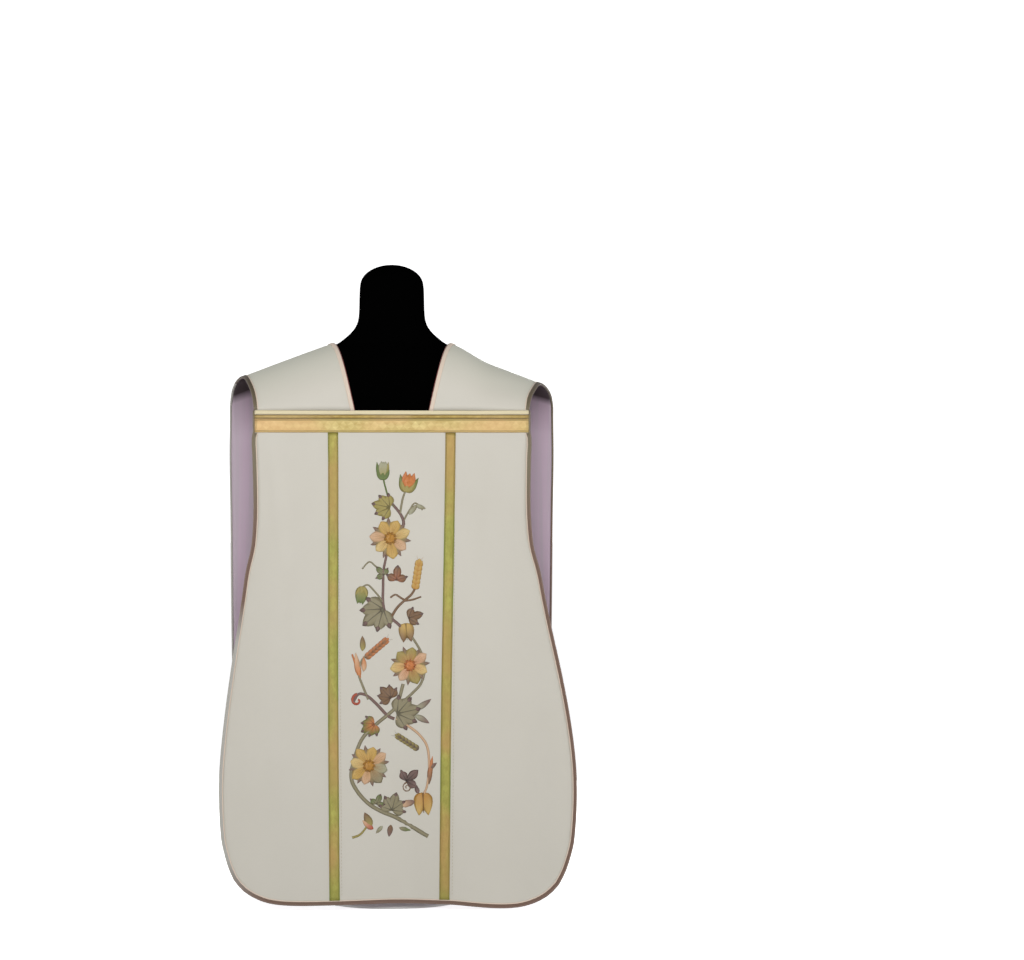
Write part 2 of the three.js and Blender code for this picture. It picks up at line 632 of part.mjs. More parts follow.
add('front_panel', wall(front, front.cells, CLOTH), COLOURS.cloth, 0.6);
add('front_lining', wall(front, front.cells, LINING), COLOURS.lining, 0.45);
add('back_and_straps', wall(back, back.cells, CLOTH), COLOURS.backCloth, 0.6);
add('back_lining', wall(back, back.cells, LINING), COLOURS.lining, 0.45);
add('galloon_chest', wall(front, tagged(front, 'band'), TRIM), COLOURS.band, 0.45);
const upright = (side) => wall(front, galloons.filter((cell) => cell.side * side > 0), TRIM);
add('galloon_front_left', upright(-1), COLOURS.galloon, 0.45);
add('galloon_front_right', upright(1), COLOURS.galloon, 0.45);
add('galloon_cross', wall(back, tagged(back, 'cross'), TRIM), COLOURS.galloon, 0.45);
add('braid_seam', wall(front, tagged(front, 'seamBraid'), TRIM), COLOURS.braid, 0.6);
add('braid_front_edge', wall(front, tagged(front, 'edgeBraid'), TRIM), COLOURS.braid, 0.6);
add('braid_back_edge', wall(back, tagged(back, 'sideBraid'), TRIM), COLOURS.braid, 0.6);
add('braid_neck', wall(back, tagged(back, 'neckBraid'), TRIM), COLOURS.braid, 0.6);
add('form_torso', formGeometry(), COLOURS.form, 0.9);
add('form_pole', poleGeometry(), COLOURS.stand, 0.5);
add('form_base', baseGeometry(), COLOURS.stand, 0.5);

export default chasuble;
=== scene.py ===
"""A fiddleback chasuble on a plain dress form: silk, lining, galloon, braid and embroidery."""

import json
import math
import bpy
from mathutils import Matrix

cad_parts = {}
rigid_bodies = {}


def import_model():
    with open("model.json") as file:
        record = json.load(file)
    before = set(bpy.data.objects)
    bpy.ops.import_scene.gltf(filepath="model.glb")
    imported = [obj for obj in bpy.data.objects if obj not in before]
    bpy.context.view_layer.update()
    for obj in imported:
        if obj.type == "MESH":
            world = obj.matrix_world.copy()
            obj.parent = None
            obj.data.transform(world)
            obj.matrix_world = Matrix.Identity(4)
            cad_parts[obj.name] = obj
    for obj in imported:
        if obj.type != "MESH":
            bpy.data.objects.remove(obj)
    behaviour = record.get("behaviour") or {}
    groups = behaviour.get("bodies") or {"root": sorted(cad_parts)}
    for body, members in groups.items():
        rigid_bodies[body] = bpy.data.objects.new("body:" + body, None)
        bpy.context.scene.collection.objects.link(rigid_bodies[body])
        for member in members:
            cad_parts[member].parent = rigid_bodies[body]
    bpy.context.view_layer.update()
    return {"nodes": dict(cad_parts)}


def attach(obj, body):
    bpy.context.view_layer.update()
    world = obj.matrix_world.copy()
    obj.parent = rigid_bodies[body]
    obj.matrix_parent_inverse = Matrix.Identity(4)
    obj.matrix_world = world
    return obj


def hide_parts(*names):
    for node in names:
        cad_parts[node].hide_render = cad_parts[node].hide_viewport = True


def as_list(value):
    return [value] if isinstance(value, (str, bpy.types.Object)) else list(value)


bl_info = {
    "name": "Fiddleback chasuble",
    "version": (1, 0, 0),
    "blender": (4, 5, 0),
    "location": "View3D > Sidebar > Chasuble",
    "description": "Makes a lined and embroidered fiddleback chasuble on its dress form",
    "category": "Add Mesh",
}

import bmesh
import bpy
from bpy.props import FloatProperty, FloatVectorProperty, IntProperty, PointerProperty
from mathutils import Vector

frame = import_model()

# The pattern is worked in millimetres and placed in metres.
MM = 0.001

# The cloth as one surface, as it hangs. Heights are above the hem.
HEM_HEIGHT = 12
RIDGE_TOP = 1148.3
RIDGE_FALL = 0.39
RIDGE_ROUND = 60
FRONT_ROUND = 120
BACK_ROUND = 110
SEAM_HEIGHT = 962
SEAM_GAP = 0.3
NORMAL_STEP = 0.5
FRONT_HANG = {"start": 930, "flare": 42, "curl": 38, "curl_width": 340}
BACK_HANG = {"start": 900, "flare": 32, "curl": 34, "curl_width": 330}
SWAY = {"middle": -6, "sides": 12, "half_width": 345, "quick": 1.5}
DROOP = {"start": 118, "over": 80, "depth": 13, "low": 962, "high": 1030}    # of the right shoulder
HEM_DROP = {"start": 110, "over": 170, "depth": 13, "top": 260}              # at the right corner

# Broad folds: (x, width, depth outwards, height where it has died out)
FRONT_FOLDS = (
    (-222, 46, 7, 830),
    (-130, 60, 6, 700),
    (42, 74, -13, 640),
    (158, 52, 7, 760),
    (246, 44, -6, 820),
)
BACK_FOLDS = (
    (-236, 48, 7, 800),
    (-60, 70, -7, 560),
    (120, 64, 6, 640),
    (232, 46, 8, 860),
)

# Soft creases: (x, z) at one end, (x, z) at the other, width and depth outwards
FRONT_CREASES = (
    (-238, 905, -206, 640, 13, 1.6),
    (-196, 760, -214, 470, 17, -1.8),
    (-262, 560, -240, 250, 22, 2.4),
    (-300, 420, -276, 120, 26, -2.6),
    (-168, 420, -182, 60, 24, 2.2),
    (-64, 300, -78, 20, 20, 1.6),
    (30, 260, 44, 12, 18, -1.8),
    (98, 210, 92, 14, 15, 1.4),
    (196, 880, 176, 600, 15, -1.5),
    (232, 820, 250, 560, 14, 1.8),
    (206, 520, 232, 190, 24, 2.5),
    (282, 470, 268, 150, 22, -2.6),
    (316, 330, 300, 90, 20, 2.0),
    (150, 330, 168, 40, 22, -1.8),
    (-120, 900, -150, 760, 12, 1.0),
    (130, 905, 160, 780, 12, 1.0),
)
BACK_CREASES = (
    (-210, 960, -250, 700, 16, 1.8),
    (206, 950, 240, 660, 18, -1.7),
    (-262, 640, -236, 300, 22, -2.2),
    (268, 600, 246, 240, 24, 2.4),
    (-176, 420, -204, 60, 24, 2.4),
    (188, 380, 178, 40, 22, -2.0),
    (-40, 240, -52, 14, 18, 1.5),
    (58, 280, 44, 16, 20, -1.6),
    (150, 900, 166, 820, 10, 1.0),
    (-292, 300, -276, 80, 18, 2.0),
)

# Layers, in millimetres out from the cloth's inner face
LINING_IN = -1.4
LINING_THICK = 1.1
CLOTH_THICK = 1.2
TRIM_IN = 1.5
GALLOON_THICK = 1.0
BRAID_THICK = 0.9
THREAD_IN = 1.22

# Outlines: half widths by height, and the hems by x
FRONT_SIDE = (
    (47, 316), (68, 327), (97, 337), (127, 344), (203, 349), (273, 347), (361, 337), (448, 323),
    (548, 304), (599, 295), (651, 286), (702, 271), (755, 264.5), (860, 265), (920, 267.5),
    (SEAM_HEIGHT, 268),
)
FRONT_HEM = ((0, 3), (117, 1), (190, 0), (240, 4), (273, 14), (299, 29), (316, 47))
BACK_SIDE = (
    (52, 281), (70, 291), (90, 298), (118, 303), (175, 308), (250, 312), (330, 316),
    (460, 320), (600, 322), (760, 324), (880, 326), (990, 324),
)
BACK_HEM = ((0, 2), (106, 2), (190, 9), (232, 19), (260, 34), (281, 52))
STRAP_SIDE = (
    (-160, 267), (-114, 272), (-61, 284.5), (-25, 293), (0, 300), (30, 310), (62, 319), (100, 324),
)
NECK_RIDGE = 119
NECK_SEAM = 73
NECK_DIP = 114
NECK_BEND = 2.2
NECK_CORNER = 88

# Galloons and braid
GALLOON_WIDTH = 20
BAND_LOW, BAND_HIGH = 919, 946
COLUMN_TOP, COLUMN_BOTTOM = 115, 106.75
CROSS_LOW, ARM_LOW, ARM_HIGH, CROSS_HIGH = 61, 593, 813, 1022
ARM_REACH, CROSS_TOP, CROSS_BOTTOM = 277, 115, 106
BRAID_WIDTH = 8
CORD_RADIUS = 2.6
NECK_CORD_RADIUS = 1.8
CORD_MIDDLE = 0.2        # the cord wraps the edges of cloth and lining, so it lies between them
CORD_INSET = 0.25        # the share of its radius by which it lies in from the edge
BRAID_EASE, BRAID_CROWN = 0.2, 0.25
HEADING_SHADE_WIDTH = 6.8      # of the chest galloon's heading, a narrow dark strip above it that also paints the shade of the gap there
HEADING_SHADE_GAP, HEADING_SHADE_RISE, HEADING_SHADE_CROWN, HEADING_SHADE_THICK = 0.6, 0.05, 0.9, 0.6
BUTT_GAP, COLUMN_GAP = 0.4, 0.3     # between the ends of a trim and the trim that it meets
CORD_SIDES = 8
WELD = 2e-5              # metres between points that are one


def clamp(value, low=0.0, high=1.0):
    return max(low, min(high, value))


def mix(a, b, t):
    return a + (b - a) * t


def ease(t):
    u = clamp(t)
    return u * u * (3 - 2 * u)


def blended(first, second, t):
    """A colour or point between two others."""
    return [mix(a, b, t) for a, b in zip(first, second)]


def scaled(colour, share):
    """A colour made darker or lighter."""
    return [part * share for part in colour]


def look_up(rows, value):
    """Reads a two-column table with a smooth curve through its rows."""
    last = len(rows) - 1
    if value <= rows[0][0]:
        return rows[0][1]
    if value >= rows[last][0]:
        return rows[last][1]
    i = next(k for k in range(last) if rows[k + 1][0] > value)
    span = rows[i + 1][0] - rows[i][0]
    t = (value - rows[i][0]) / span

    def slope(k):
        a, b = rows[max(k - 1, 0)], rows[min(k + 1, last)]
        return (b[1] - a[1]) / (b[0] - a[0])

    start_pull = (t**3 - 2 * t**2 + t) * slope(i) * span
    end_pull = (t**3 - t**2) * slope(i + 1) * span
    return mix(rows[i][1], rows[i + 1][1], 3 * t**2 - 2 * t**3) + start_pull + end_pull


def ridge(x):
    return RIDGE_TOP - RIDGE_FALL * math.hypot(x, RIDGE_ROUND)


def stand_off(hang, folds, x, z):
    """How far the hanging cloth stands out from the foot of the shoulder's curve."""
    t = clamp((hang["start"] - z) / hang["start"])
    turn_back = hang["curl"] * (abs(x) / hang["curl_width"]) ** 3 * ease(2 * t)
    out = hang["flare"] * t * (0.4 + 0.6 * ease(2 * t)) - turn_back
    for at, width, depth, top in folds:
        out += depth * math.exp(-(((x - at) / width) ** 2)) * ease((top - z) / top)
    return out


def crease(rows, x, z):
    """The depth of the soft creases at a point, fading at both ends of each."""
    depth = 0.0
    for x0, z0, x1, z1, width, deep in rows:
        along = clamp((z0 - z) / (z0 - z1), -0.2, 1.2)
        off = (x - mix(x0, x1, along)) / width
        if abs(off) < 3:
            fade = ease((along + 0.2) / 0.4) * ease((1.2 - along) / 0.4)
            depth += deep * math.exp(-off * off) * fade
    return depth


def sunk(rows, x, height):
    """How far the cloth has sunk towards the right, at a place given by its height before it sank."""
    return rows["depth"] * ease((x - rows["start"]) / rows["over"]) * height


def surface(x, s):
    """A point of the cloth. s runs from the shoulder line, negative down the front."""
    front = s < 0
    radius = FRONT_ROUND if front else BACK_ROUND
    turn = min(abs(s) / radius, math.pi / 2)
    straight = max(0.0, abs(s) - radius * math.pi / 2)
    z = ridge(x) - radius * (1 - math.cos(turn)) - straight
    fall = sunk(DROOP, x, ease((z - DROOP["low"]) / (DROOP["high"] - DROOP["low"])))
    if front:
        hang = stand_off(FRONT_HANG, FRONT_FOLDS, x, z) + crease(FRONT_CREASES, x, z)
        fall += sunk(HEM_DROP, x, ease((HEM_DROP["top"] - z) / HEM_DROP["top"]))
        down = ease(SWAY["quick"] * (FRONT_HANG["start"] - z) / FRONT_HANG["start"])
        x += down * mix(SWAY["middle"], SWAY["sides"], (x / SWAY["half_width"]) ** 2)
        return Vector((x, -radius * math.sin(turn) - hang, z + HEM_HEIGHT - fall))
    hang = stand_off(BACK_HANG, BACK_FOLDS, x, z) + crease(BACK_CREASES, x, z)
    return Vector((x, radius * math.sin(turn) + hang, z + HEM_HEIGHT - fall))


def place(x, s, out=0.0):
    """The place in metres of a pattern point, moved out from the cloth's inner face."""
    across = surface(x + NORMAL_STEP, s) - surface(x - NORMAL_STEP, s)
    along = surface(x, s + NORMAL_STEP) - surface(x, s - NORMAL_STEP)
    return (surface(x, s) + across.cross(along).normalized() * out) * MM


def way_to(x, z, side):
    """The way along the cloth to a height, down the front (-1) or the back (1)."""
    radius = FRONT_ROUND if side < 0 else BACK_ROUND
    fall = ridge(x) - z
    if fall < radius:
        return side * radius * math.acos(clamp(1 - fall / radius, -1, 1))
    return side * (radius * math.pi / 2 + fall - radius)


def seam_way(x):
    return way_to(x, SEAM_HEIGHT + SEAM_GAP, -1)


def neck_way(x):
    """The dip of the neckline behind the neck."""
    return NECK_DIP * (1 - (x / NECK_RIDGE) ** NECK_BEND) ** (1 / NECK_BEND)


def neck_half(s):
    """Half the width of the neck opening, at a way along the cloth."""
    if s > 0:
        return NECK_RIDGE * (1 - (s / NECK_DIP) ** NECK_BEND) ** (1 / NECK_BEND)
    return mix(NECK_RIDGE, NECK_SEAM, s / seam_way(NECK_SEAM))


def front_pattern(u, v):
    """Pattern point of the front panel: u runs from -1 to 1 across, v from 0 at the hem to 1."""
    corner_x, corner_z = FRONT_HEM[-1]
    side_z = mix(corner_z, SEAM_HEIGHT, v)
    low = look_up(FRONT_HEM, abs(u) * corner_x)
    z = low + (side_z - corner_z) * (SEAM_HEIGHT - low) / (SEAM_HEIGHT - corner_z)
    x = u * look_up(FRONT_SIDE, side_z)
    return x, way_to(x, z, -1)


TURN_OVER = STRAP_SIDE[-1][0]
SIDE_SHARE = 0.75    # the share of a side's rows that lies below the neck's corner
SIDE_ROWS = 1.5      # rows in a side with its strap, for each row in the front


def back_side_edge(v):
    """Outer edge of the back and strap, from the hem's corner (0) to the seam (1)."""
    corner_x, corner_z = BACK_HEM[-1]
    if v <= SIDE_SHARE:
        top_z = ridge(STRAP_SIDE[-1][1]) - BACK_ROUND * (1 - math.cos(TURN_OVER / BACK_ROUND))
        z = mix(corner_z, top_z, v / SIDE_SHARE)
        x = look_up(BACK_SIDE, z)
        return x, way_to(x, z, 1)
    t = (v - SIDE_SHARE) / (1 - SIDE_SHARE)
    s = mix(TURN_OVER, seam_way(STRAP_SIDE[0][1]), t)
    return look_up(STRAP_SIDE, s), s


def back_inner_edge(v):
    """Inner edge of a side: the line below the neck's corner, then the neckline."""
    corner_s = neck_way(NECK_CORNER)
    if v <= SIDE_SHARE:
        low = way_to(NECK_CORNER, look_up(BACK_HEM, NECK_CORNER), 1)
        return NECK_CORNER, mix(low, corner_s, v / SIDE_SHARE)
    t = (v - SIDE_SHARE) / (1 - SIDE_SHARE)
    s = mix(corner_s, seam_way(NECK_SEAM), t)
    return neck_half(s), s


def back_side_pattern(u, v):
    """Pattern point of one side of the back and its strap, u from the inner edge to the outer."""
    (x0, s0), (x1, s1) = back_inner_edge(v), back_side_edge(v)
    x, s = mix(x0, x1, u), mix(s0, s1, u)
    if v < SIDE_SHARE:
        (a, b), (c, d) = back_inner_edge(0), back_side_edge(0)
        hem_x = mix(a, c, u)
        hem_s = way_to(hem_x, look_up(BACK_HEM, hem_x), 1)
        s += (hem_s - mix(b, d, u)) * (1 - v / SIDE_SHARE) ** 2
    if v == 1:
        s = seam_way(x)
    return x, s


def back_middle_pattern(u, v):
    """Pattern point between the two sides, below the neckline."""
    x = u * NECK_CORNER
    low = way_to(x, look_up(BACK_HEM, abs(x)), 1)
    return x, mix(low, neck_way(abs(x)), v)


# Mesh making

def new_mesh():
    mesh = bmesh.new()
    mesh.loops.layers.uv.new("pattern")
    mesh.verts.layers.float_color.new("thread")
    return mesh


def mapped_grid(mesh, columns, rows, shape, colour=None):
    """A grid whose points are placed by shape(u, v), which gives a place and its pattern point."""
    uv = mesh.loops.layers.uv["pattern"]
    tint = mesh.verts.layers.float_color["thread"]
    verts = bmesh.ops.create_grid(mesh, x_segments=columns, y_segments=rows, size=1.0)["verts"]
    pattern = {}
    for vert in verts:
        u, v = (vert.co.x + 1) / 2, (vert.co.y + 1) / 2
        vert.co, pattern[vert] = shape(u, v)
        if colour:
            vert[tint] = (*colour(u, v), 1.0)
    faces = list(dict.fromkeys(face for vert in verts for face in vert.link_faces))
    for face in faces:
        face.smooth = True
        for loop in face.loops:
            loop[uv].uv = pattern[loop.vert]
    return verts, faces


def turn_outwards(mesh, faces, outward):
    """Turns a strip or panel over if it faces the wearer."""
    faces[0].normal_update()
    if faces[0].normal.dot(outward) < 0:
        bmesh.ops.reverse_faces(mesh, faces=faces)


def cloth_panel(mesh, columns, rows, pattern, out, low=-1.0, mirror=1):
    """One panel of cloth, `out` from the inner face, its u running from low to 1."""
    faces = mapped_grid(mesh, columns, rows, cloth_shape(pattern, out, low, 1.0, mirror))[1]
    x, s = pattern(mix(low, 1.0, 0.5 / columns), 0.5 / rows)
    turn_outwards(mesh, faces, place(x * mirror, s, 1.0) - place(x * mirror, s, 0.0))


def cloth_shape(pattern, out, low=0.0, high=1.0, mirror=1):
    """Turns a pattern function into a shape for mapped_grid."""

    def shape(u, v):
        x, s = pattern(mix(low, high, u), v)
        return place(x * mirror, s, out), (x * mirror * MM, s * MM)

    return shape


def finish_piece(name, mesh, material, slot, replaced=(), thickness=0.0, offset=1.0, weld=0.0):
    """Makes the object, gives it thickness and its finish, and fixes it to the part."""
    if weld:
        bmesh.ops.remove_doubles(mesh, verts=mesh.verts, dist=weld)
    data = bpy.data.meshes.new(name)
    mesh.to_mesh(data)
    mesh.free()
    piece = bpy.data.objects.new(name, data)
    bpy.context.scene.collection.objects.link(piece)
    data.materials.append(material)
    if thickness:
        wall = piece.modifiers.new("Thickness", "SOLIDIFY")
        wall.thickness = thickness * MM
        wall.offset = offset
        wall.use_even_offset = False
    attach(piece, "root")
    if replaced:
        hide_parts(*replaced)
    return piece


# Materials

class Socket:
    """A value that varies over a finish, and the sums that can be done with it."""

    def __init__(self, finish, output):
        self.finish = finish
        self.output = output

    def maths(self, operation, *values):
        return self.finish.node("ShaderNodeMath", {"operation": operation}, dict(enumerate(values)))

    def __add__(self, other):
        return self.maths("ADD", self, other)

    __radd__ = __add__

    def __sub__(self, other):
        return self.maths("SUBTRACT", self, other)

    def __rsub__(self, other):
        return self.maths("SUBTRACT", other, self)

    def __mul__(self, other):
        return self.maths("MULTIPLY", self, other)

    __rmul__ = __mul__

    def __truediv__(self, other):
        return self.maths("DIVIDE", self, other)

    def __pow__(self, other):
        return self.maths("POWER", self, other)

    def __abs__(self):
        return self.maths("ABSOLUTE", self)

    def sine(self):
        return self.maths("SINE", self)

    def fraction(self):
        return self.maths("FRACT", self)

    def below(self, limit):
        return self.maths("LESS_THAN", self, limit)

    def clamped(self):
        return self.maths("MINIMUM", self.maths("MAXIMUM", self, 0.0), 1.0)


class Finish:
    """One finish being built."""

    def __init__(self, name, **constants):
        self.material = bpy.data.materials.new(name)
        self.material.use_nodes = True
        self.tree = self.material.node_tree
        self.shader = self.tree.nodes["Principled BSDF"]
        for socket, value in constants.items():
            self.shader.inputs[socket.replace("_", " ")].default_value = value

    def node(self, kind, settings=None, inputs=None, output=0):
        new = self.tree.nodes.new(kind)
        for name, value in (settings or {}).items():
            setattr(new, name, value)
        for key, value in (inputs or {}).items():
            if isinstance(value, Socket):
                self.tree.links.new(value.output, new.inputs[key])
            else:
                new.inputs[key].default_value = value
        return Socket(self, new.outputs[output])

    def feed(self, name, value):
        self.tree.links.new(value.output, self.shader.inputs[name])

    def blend(self, factor, first, second, kind="MIX"):
        """Mixes two colours, each a tuple or a socket."""
        ends = [value if isinstance(value, Socket) else (*value, 1.0) for value in (first, second)]
        settings = {"data_type": "RGBA", "blend_type": kind}
        return self.node("ShaderNodeMix", settings, {0: factor, 6: ends[0], 7: ends[1]}, 2)

    def split(self, vector, count=3):
        """The first parts of a vector, each as a value."""
        return [self.node("ShaderNodeSeparateXYZ", None, {0: vector}, k) for k in range(count)]

    def pattern(self):
        """The pattern's point, and its two parts in metres along the cloth."""
        uv = self.node("ShaderNodeUVMap", {"uv_map": "pattern"})
        return uv, *self.split(uv, 2)

    def place_on(self):
        """The place on the object, in metres."""
        return self.node("ShaderNodeTexCoord", output=3)

    def noise(self, vector, scale, detail=3.0):
        return self.node("ShaderNodeTexNoise", None, {"Vector": vector, "Scale": scale, "Detail": detail})

    def stretched(self, vector, scale):
        return self.node("ShaderNodeMapping", None, {"Vector": vector, "Scale": scale})

    def bump(self, height, strength, distance):
        inputs = {"Height": height, "Strength": strength, "Distance": distance}
        self.feed("Normal", self.node("ShaderNodeBump", None, inputs))


# The silk: its threads and slubs, and where it turns from the front's ivory to the back's cooler one
WEFT_PER_METRE, WARP_PER_METRE = 900, 720
SLUB_SCALE = (60.0, 900.0, 1.0)
SILK_SHADE = (0.9, 0.8865, 0.8595)
BACK_TINT_START, BACK_TINT_END = -0.15, 0.09    # metres past the shoulder line
CROSS_IVORY = 0.7                               # how far the silk inside the cross stays ivory


def inside_cross(made):
    """1 inside the cross and 0 outside it, with the change hidden under its galloon."""
    x, _, z = made.split(made.place_on())
    middle = GALLOON_WIDTH / 2
    stem, arms = (
        abs(x).below(half * MM) * z.below((high - middle + HEM_HEIGHT) * MM)
        * (1.0 - z.below((low + middle + HEM_HEIGHT) * MM))
        for half, low, high in (
            (CROSS_BOTTOM - middle / 2, CROSS_LOW, CROSS_HIGH),
            (ARM_REACH - middle, ARM_LOW, ARM_HIGH),
        )
    )
    return (stem + arms).clamped()


def silk(name, colour, tint=None):
    """Plain ribbed silk with faint slubs and a soft uneven tone."""
    made = Finish(name, Sheen_Weight=0.12, Sheen_Roughness=0.4, Specular_IOR_Level=0.35)
    uv, x, s = made.pattern()
    rib = (s * (WEFT_PER_METRE * 2 * math.pi)).sine()
    warp = (x * (WARP_PER_METRE * 2 * math.pi)).sine()
    slub = made.noise(made.stretched(uv, SLUB_SCALE), 1.0, 2.0)
    tone = made.noise(uv, 7.0, 4.0)
    base = colour
    if tint:
        past = ((s - BACK_TINT_START) / (BACK_TINT_END - BACK_TINT_START)).clamped()
        base = made.blend(past * (1.0 - inside_cross(made) * CROSS_IVORY), colour, tint)
    uneven = made.blend((slub * 0.35 + tone * 0.45).clamped(), (1.0, 1.0, 1.0), SILK_SHADE)
    made.feed("Base Color", made.blend(1.0, base, uneven, "MULTIPLY"))
    made.feed("Roughness", 0.5 + tone * 0.12)
    made.bump(rib * 0.4 + warp * 0.3 + slub * 1.6, 0.25, 0.00012)
    return made.material


# Painted shade inside the shoulder fold: its dark brown colour, half its width and its soft edge
FOLD_SHADE_BROWN = (0.02, 0.011, 0.006)
FOLD_SHADE_REACH, FOLD_SHADE_FADE = 0.075, 0.025
SATIN_STRIPES, SATIN_BLOTCHES = (60.0, 1.5, 1.0), (9.0, 4.0, 1.0)
SATIN_THREADS_PER_METRE = 700


def satin(name, colour):
    """The lining: smooth satin with soft greyer stripes, and painted dark shade where it turns over."""
    made = Finish(name, Specular_IOR_Level=0.25)
    uv, x, s = made.pattern()
    tone = made.noise(made.stretched(uv, SATIN_BLOTCHES), 1.0, 3.0)
    stripe = made.noise(made.stretched(uv, SATIN_STRIPES), 1.0, 2.0)
    weave = ((x + s) * (SATIN_THREADS_PER_METRE * 2 * math.pi)).sine()
    grey = [0.6 * c + 0.32 * sum(colour) / 3 for c in colour]
    # painted shade: the lining turns dark brown along the shoulder line, inside the fold where shadow falls
    fold_shade = (1.0 - (abs(s) - FOLD_SHADE_REACH) / FOLD_SHADE_FADE).clamped()
    striped = made.blend(((stripe - 0.4) * 5.0).clamped(), grey, colour)
    cloth = made.blend(tone * 0.5, striped, scaled(colour, 0.8))
    made.feed("Base Color", made.blend(fold_shade * 0.95, cloth, FOLD_SHADE_BROWN))
    made.feed("Roughness", 0.32 + tone * 0.14)
    made.bump(weave * 0.3 + tone * 4.0, 0.3, 0.0002)
    return made.material


# Golds of the galloons, as linear light: light, dark, the edge and the warmer stretches
BRIGHT_GOLDS = ((0.72, 0.61, 0.27), (0.47, 0.34, 0.11), (0.55, 0.44, 0.15), (0.7, 0.42, 0.2))
OLIVE_GOLDS = ((0.42, 0.39, 0.08), (0.29, 0.26, 0.045), (0.23, 0.27, 0.05), (0.44, 0.23, 0.085))
# painted shade: the heading's golds are dark, standing in for the shade of the gap above the chest galloon
HEADING_SHADE_GOLDS = ((0.54, 0.39, 0.11), (0.27, 0.175, 0.04), (0.4, 0.28, 0.065), (0.5, 0.36, 0.16))
GALLOON_REPEAT = 0.016                  # metres from lozenge to lozenge
GALLOON_RIM, GALLOON_GROOVE = 0.78, 0.74    # shares of the half width
GOLD_THREADS_PER_METRE, TWILL_PER_METRE = 1250, 900


def galloon_gold(name, golds, width, lozenges=0.3):
    """Woven metal galloon: faint lozenges between ribbed edges, its gold warmer in some stretches.

    The pattern is across and along in metres.
    """
    light, dark, edge, warm = golds
    made = Finish(name, Metallic=0.3, Specular_IOR_Level=0.45)
    uv, across, along = made.pattern()
    side = abs(across / (width * MM) - 0.5) * 2.0
    step = abs((along / GALLOON_REPEAT).fraction() - 0.5) * 2.0
    lozenge = (side / 0.62 + step).below(1.0)
    rim = 1.0 - side.below(GALLOON_RIM)
    groove = abs(side - GALLOON_GROOVE).below(0.045)
    thread = (along * (GOLD_THREADS_PER_METRE * 2 * math.pi)).sine() * 0.5 + 0.5
    twill = ((along + across) * (TWILL_PER_METRE * 2 * math.pi)).sine() * 0.5 + 0.5
    glint = made.noise(made.stretched(uv, (110.0, 34.0, 1.0)), 1.0, 3.0)
    tone = made.noise(made.stretched(uv, (22.0, 7.0, 1.0)), 1.0, 3.0)
    ground = made.blend((lozenge * lozenges + (glint - 0.42) * 2.4).clamped(), dark, light)
    banded = made.blend(rim * 0.8, ground, edge)
    drift = made.noise(made.place_on(), 6.5, 2.0)
    drifted = made.blend(((drift - 0.47) * 8.0).clamped() * 0.6, banded, warm)
    toned = made.blend(((tone - 0.4) * 2.2).clamped() * 0.6, drifted, edge)
    lined = made.blend(groove * 0.55, toned, scaled(dark, 0.45))
    made.feed("Base Color", made.blend(thread * 0.18, lined, scaled(dark, 0.4)))
    made.feed("Roughness", 0.34 + tone * 0.25)
    made.bump(thread * 0.5 + twill * 0.4 + lozenge * 1.1 + rim * 0.8 - groove, 0.5, 0.00025)
    return made.material


# How the brown edges look: olive towards the shoulders, with painted shade at the arch tops and painted
# sheen grey down the left of the front
OLIVE_BROWN = (0.18, 0.15, 0.09)
OLIVE_START, OLIVE_FADE = 0.74, 0.12
ARCH_SHADE_BROWN = (0.055, 0.038, 0.014)
ARCH_SHADE_START, ARCH_SHADE_FADE = 0.97, 0.06
SHEEN_GREY = (0.48, 0.47, 0.43)
SHEEN_SIDE, SHEEN_HEIGHT, SHEEN_REACH = 0.2, 0.31, 0.29
SHEEN_SOFT_SIDE, SHEEN_SOFT_ENDS = 0.05, 0.08
BACK_SHEEN_LOW, BACK_SHEEN_TOP = HEM_HEIGHT * 6 * MM, 1.03
INNER_LINE = 0.0058             # from here to the braid's inner edge it is pale
PLAIT_PITCH, CORD_PITCH = 0.0024, 0.0036


def olive_and_painted_light(made, cord):
    """How olive an edge is at each place, how much painted sheen greys it, and the olive there darkened by
    painted shade at the arch tops. A cord gets the painted sheen behind too.
    """
    x, y, z = made.split(made.place_on())
    olive = ((z - OLIVE_START) / OLIVE_FADE).clamped()
    # painted sheen: the edges are greyed where light catches them, left of the middle down the front and,
    # for a cord, on the back too
    near = ((SHEEN_REACH - abs(z - SHEEN_HEIGHT)) / SHEEN_SOFT_ENDS).clamped()
    front = y.below(0.0)
    back = (1.0 - front) * z.below(BACK_SHEEN_TOP) * (1.0 - z.below(BACK_SHEEN_LOW))
    side = ((x * -1.0 - SHEEN_SIDE) / SHEEN_SOFT_SIDE).clamped()
    painted_sheen = side * (near * front + back * float(cord))
    # painted shade: the edges turn darker brown at the tops of the armhole arches, which lie in shadow
    arch_shade = ((z - ARCH_SHADE_START) / ARCH_SHADE_FADE).clamped()
    return olive, painted_sheen, made.blend(arch_shade, OLIVE_BROWN, ARCH_SHADE_BROWN)


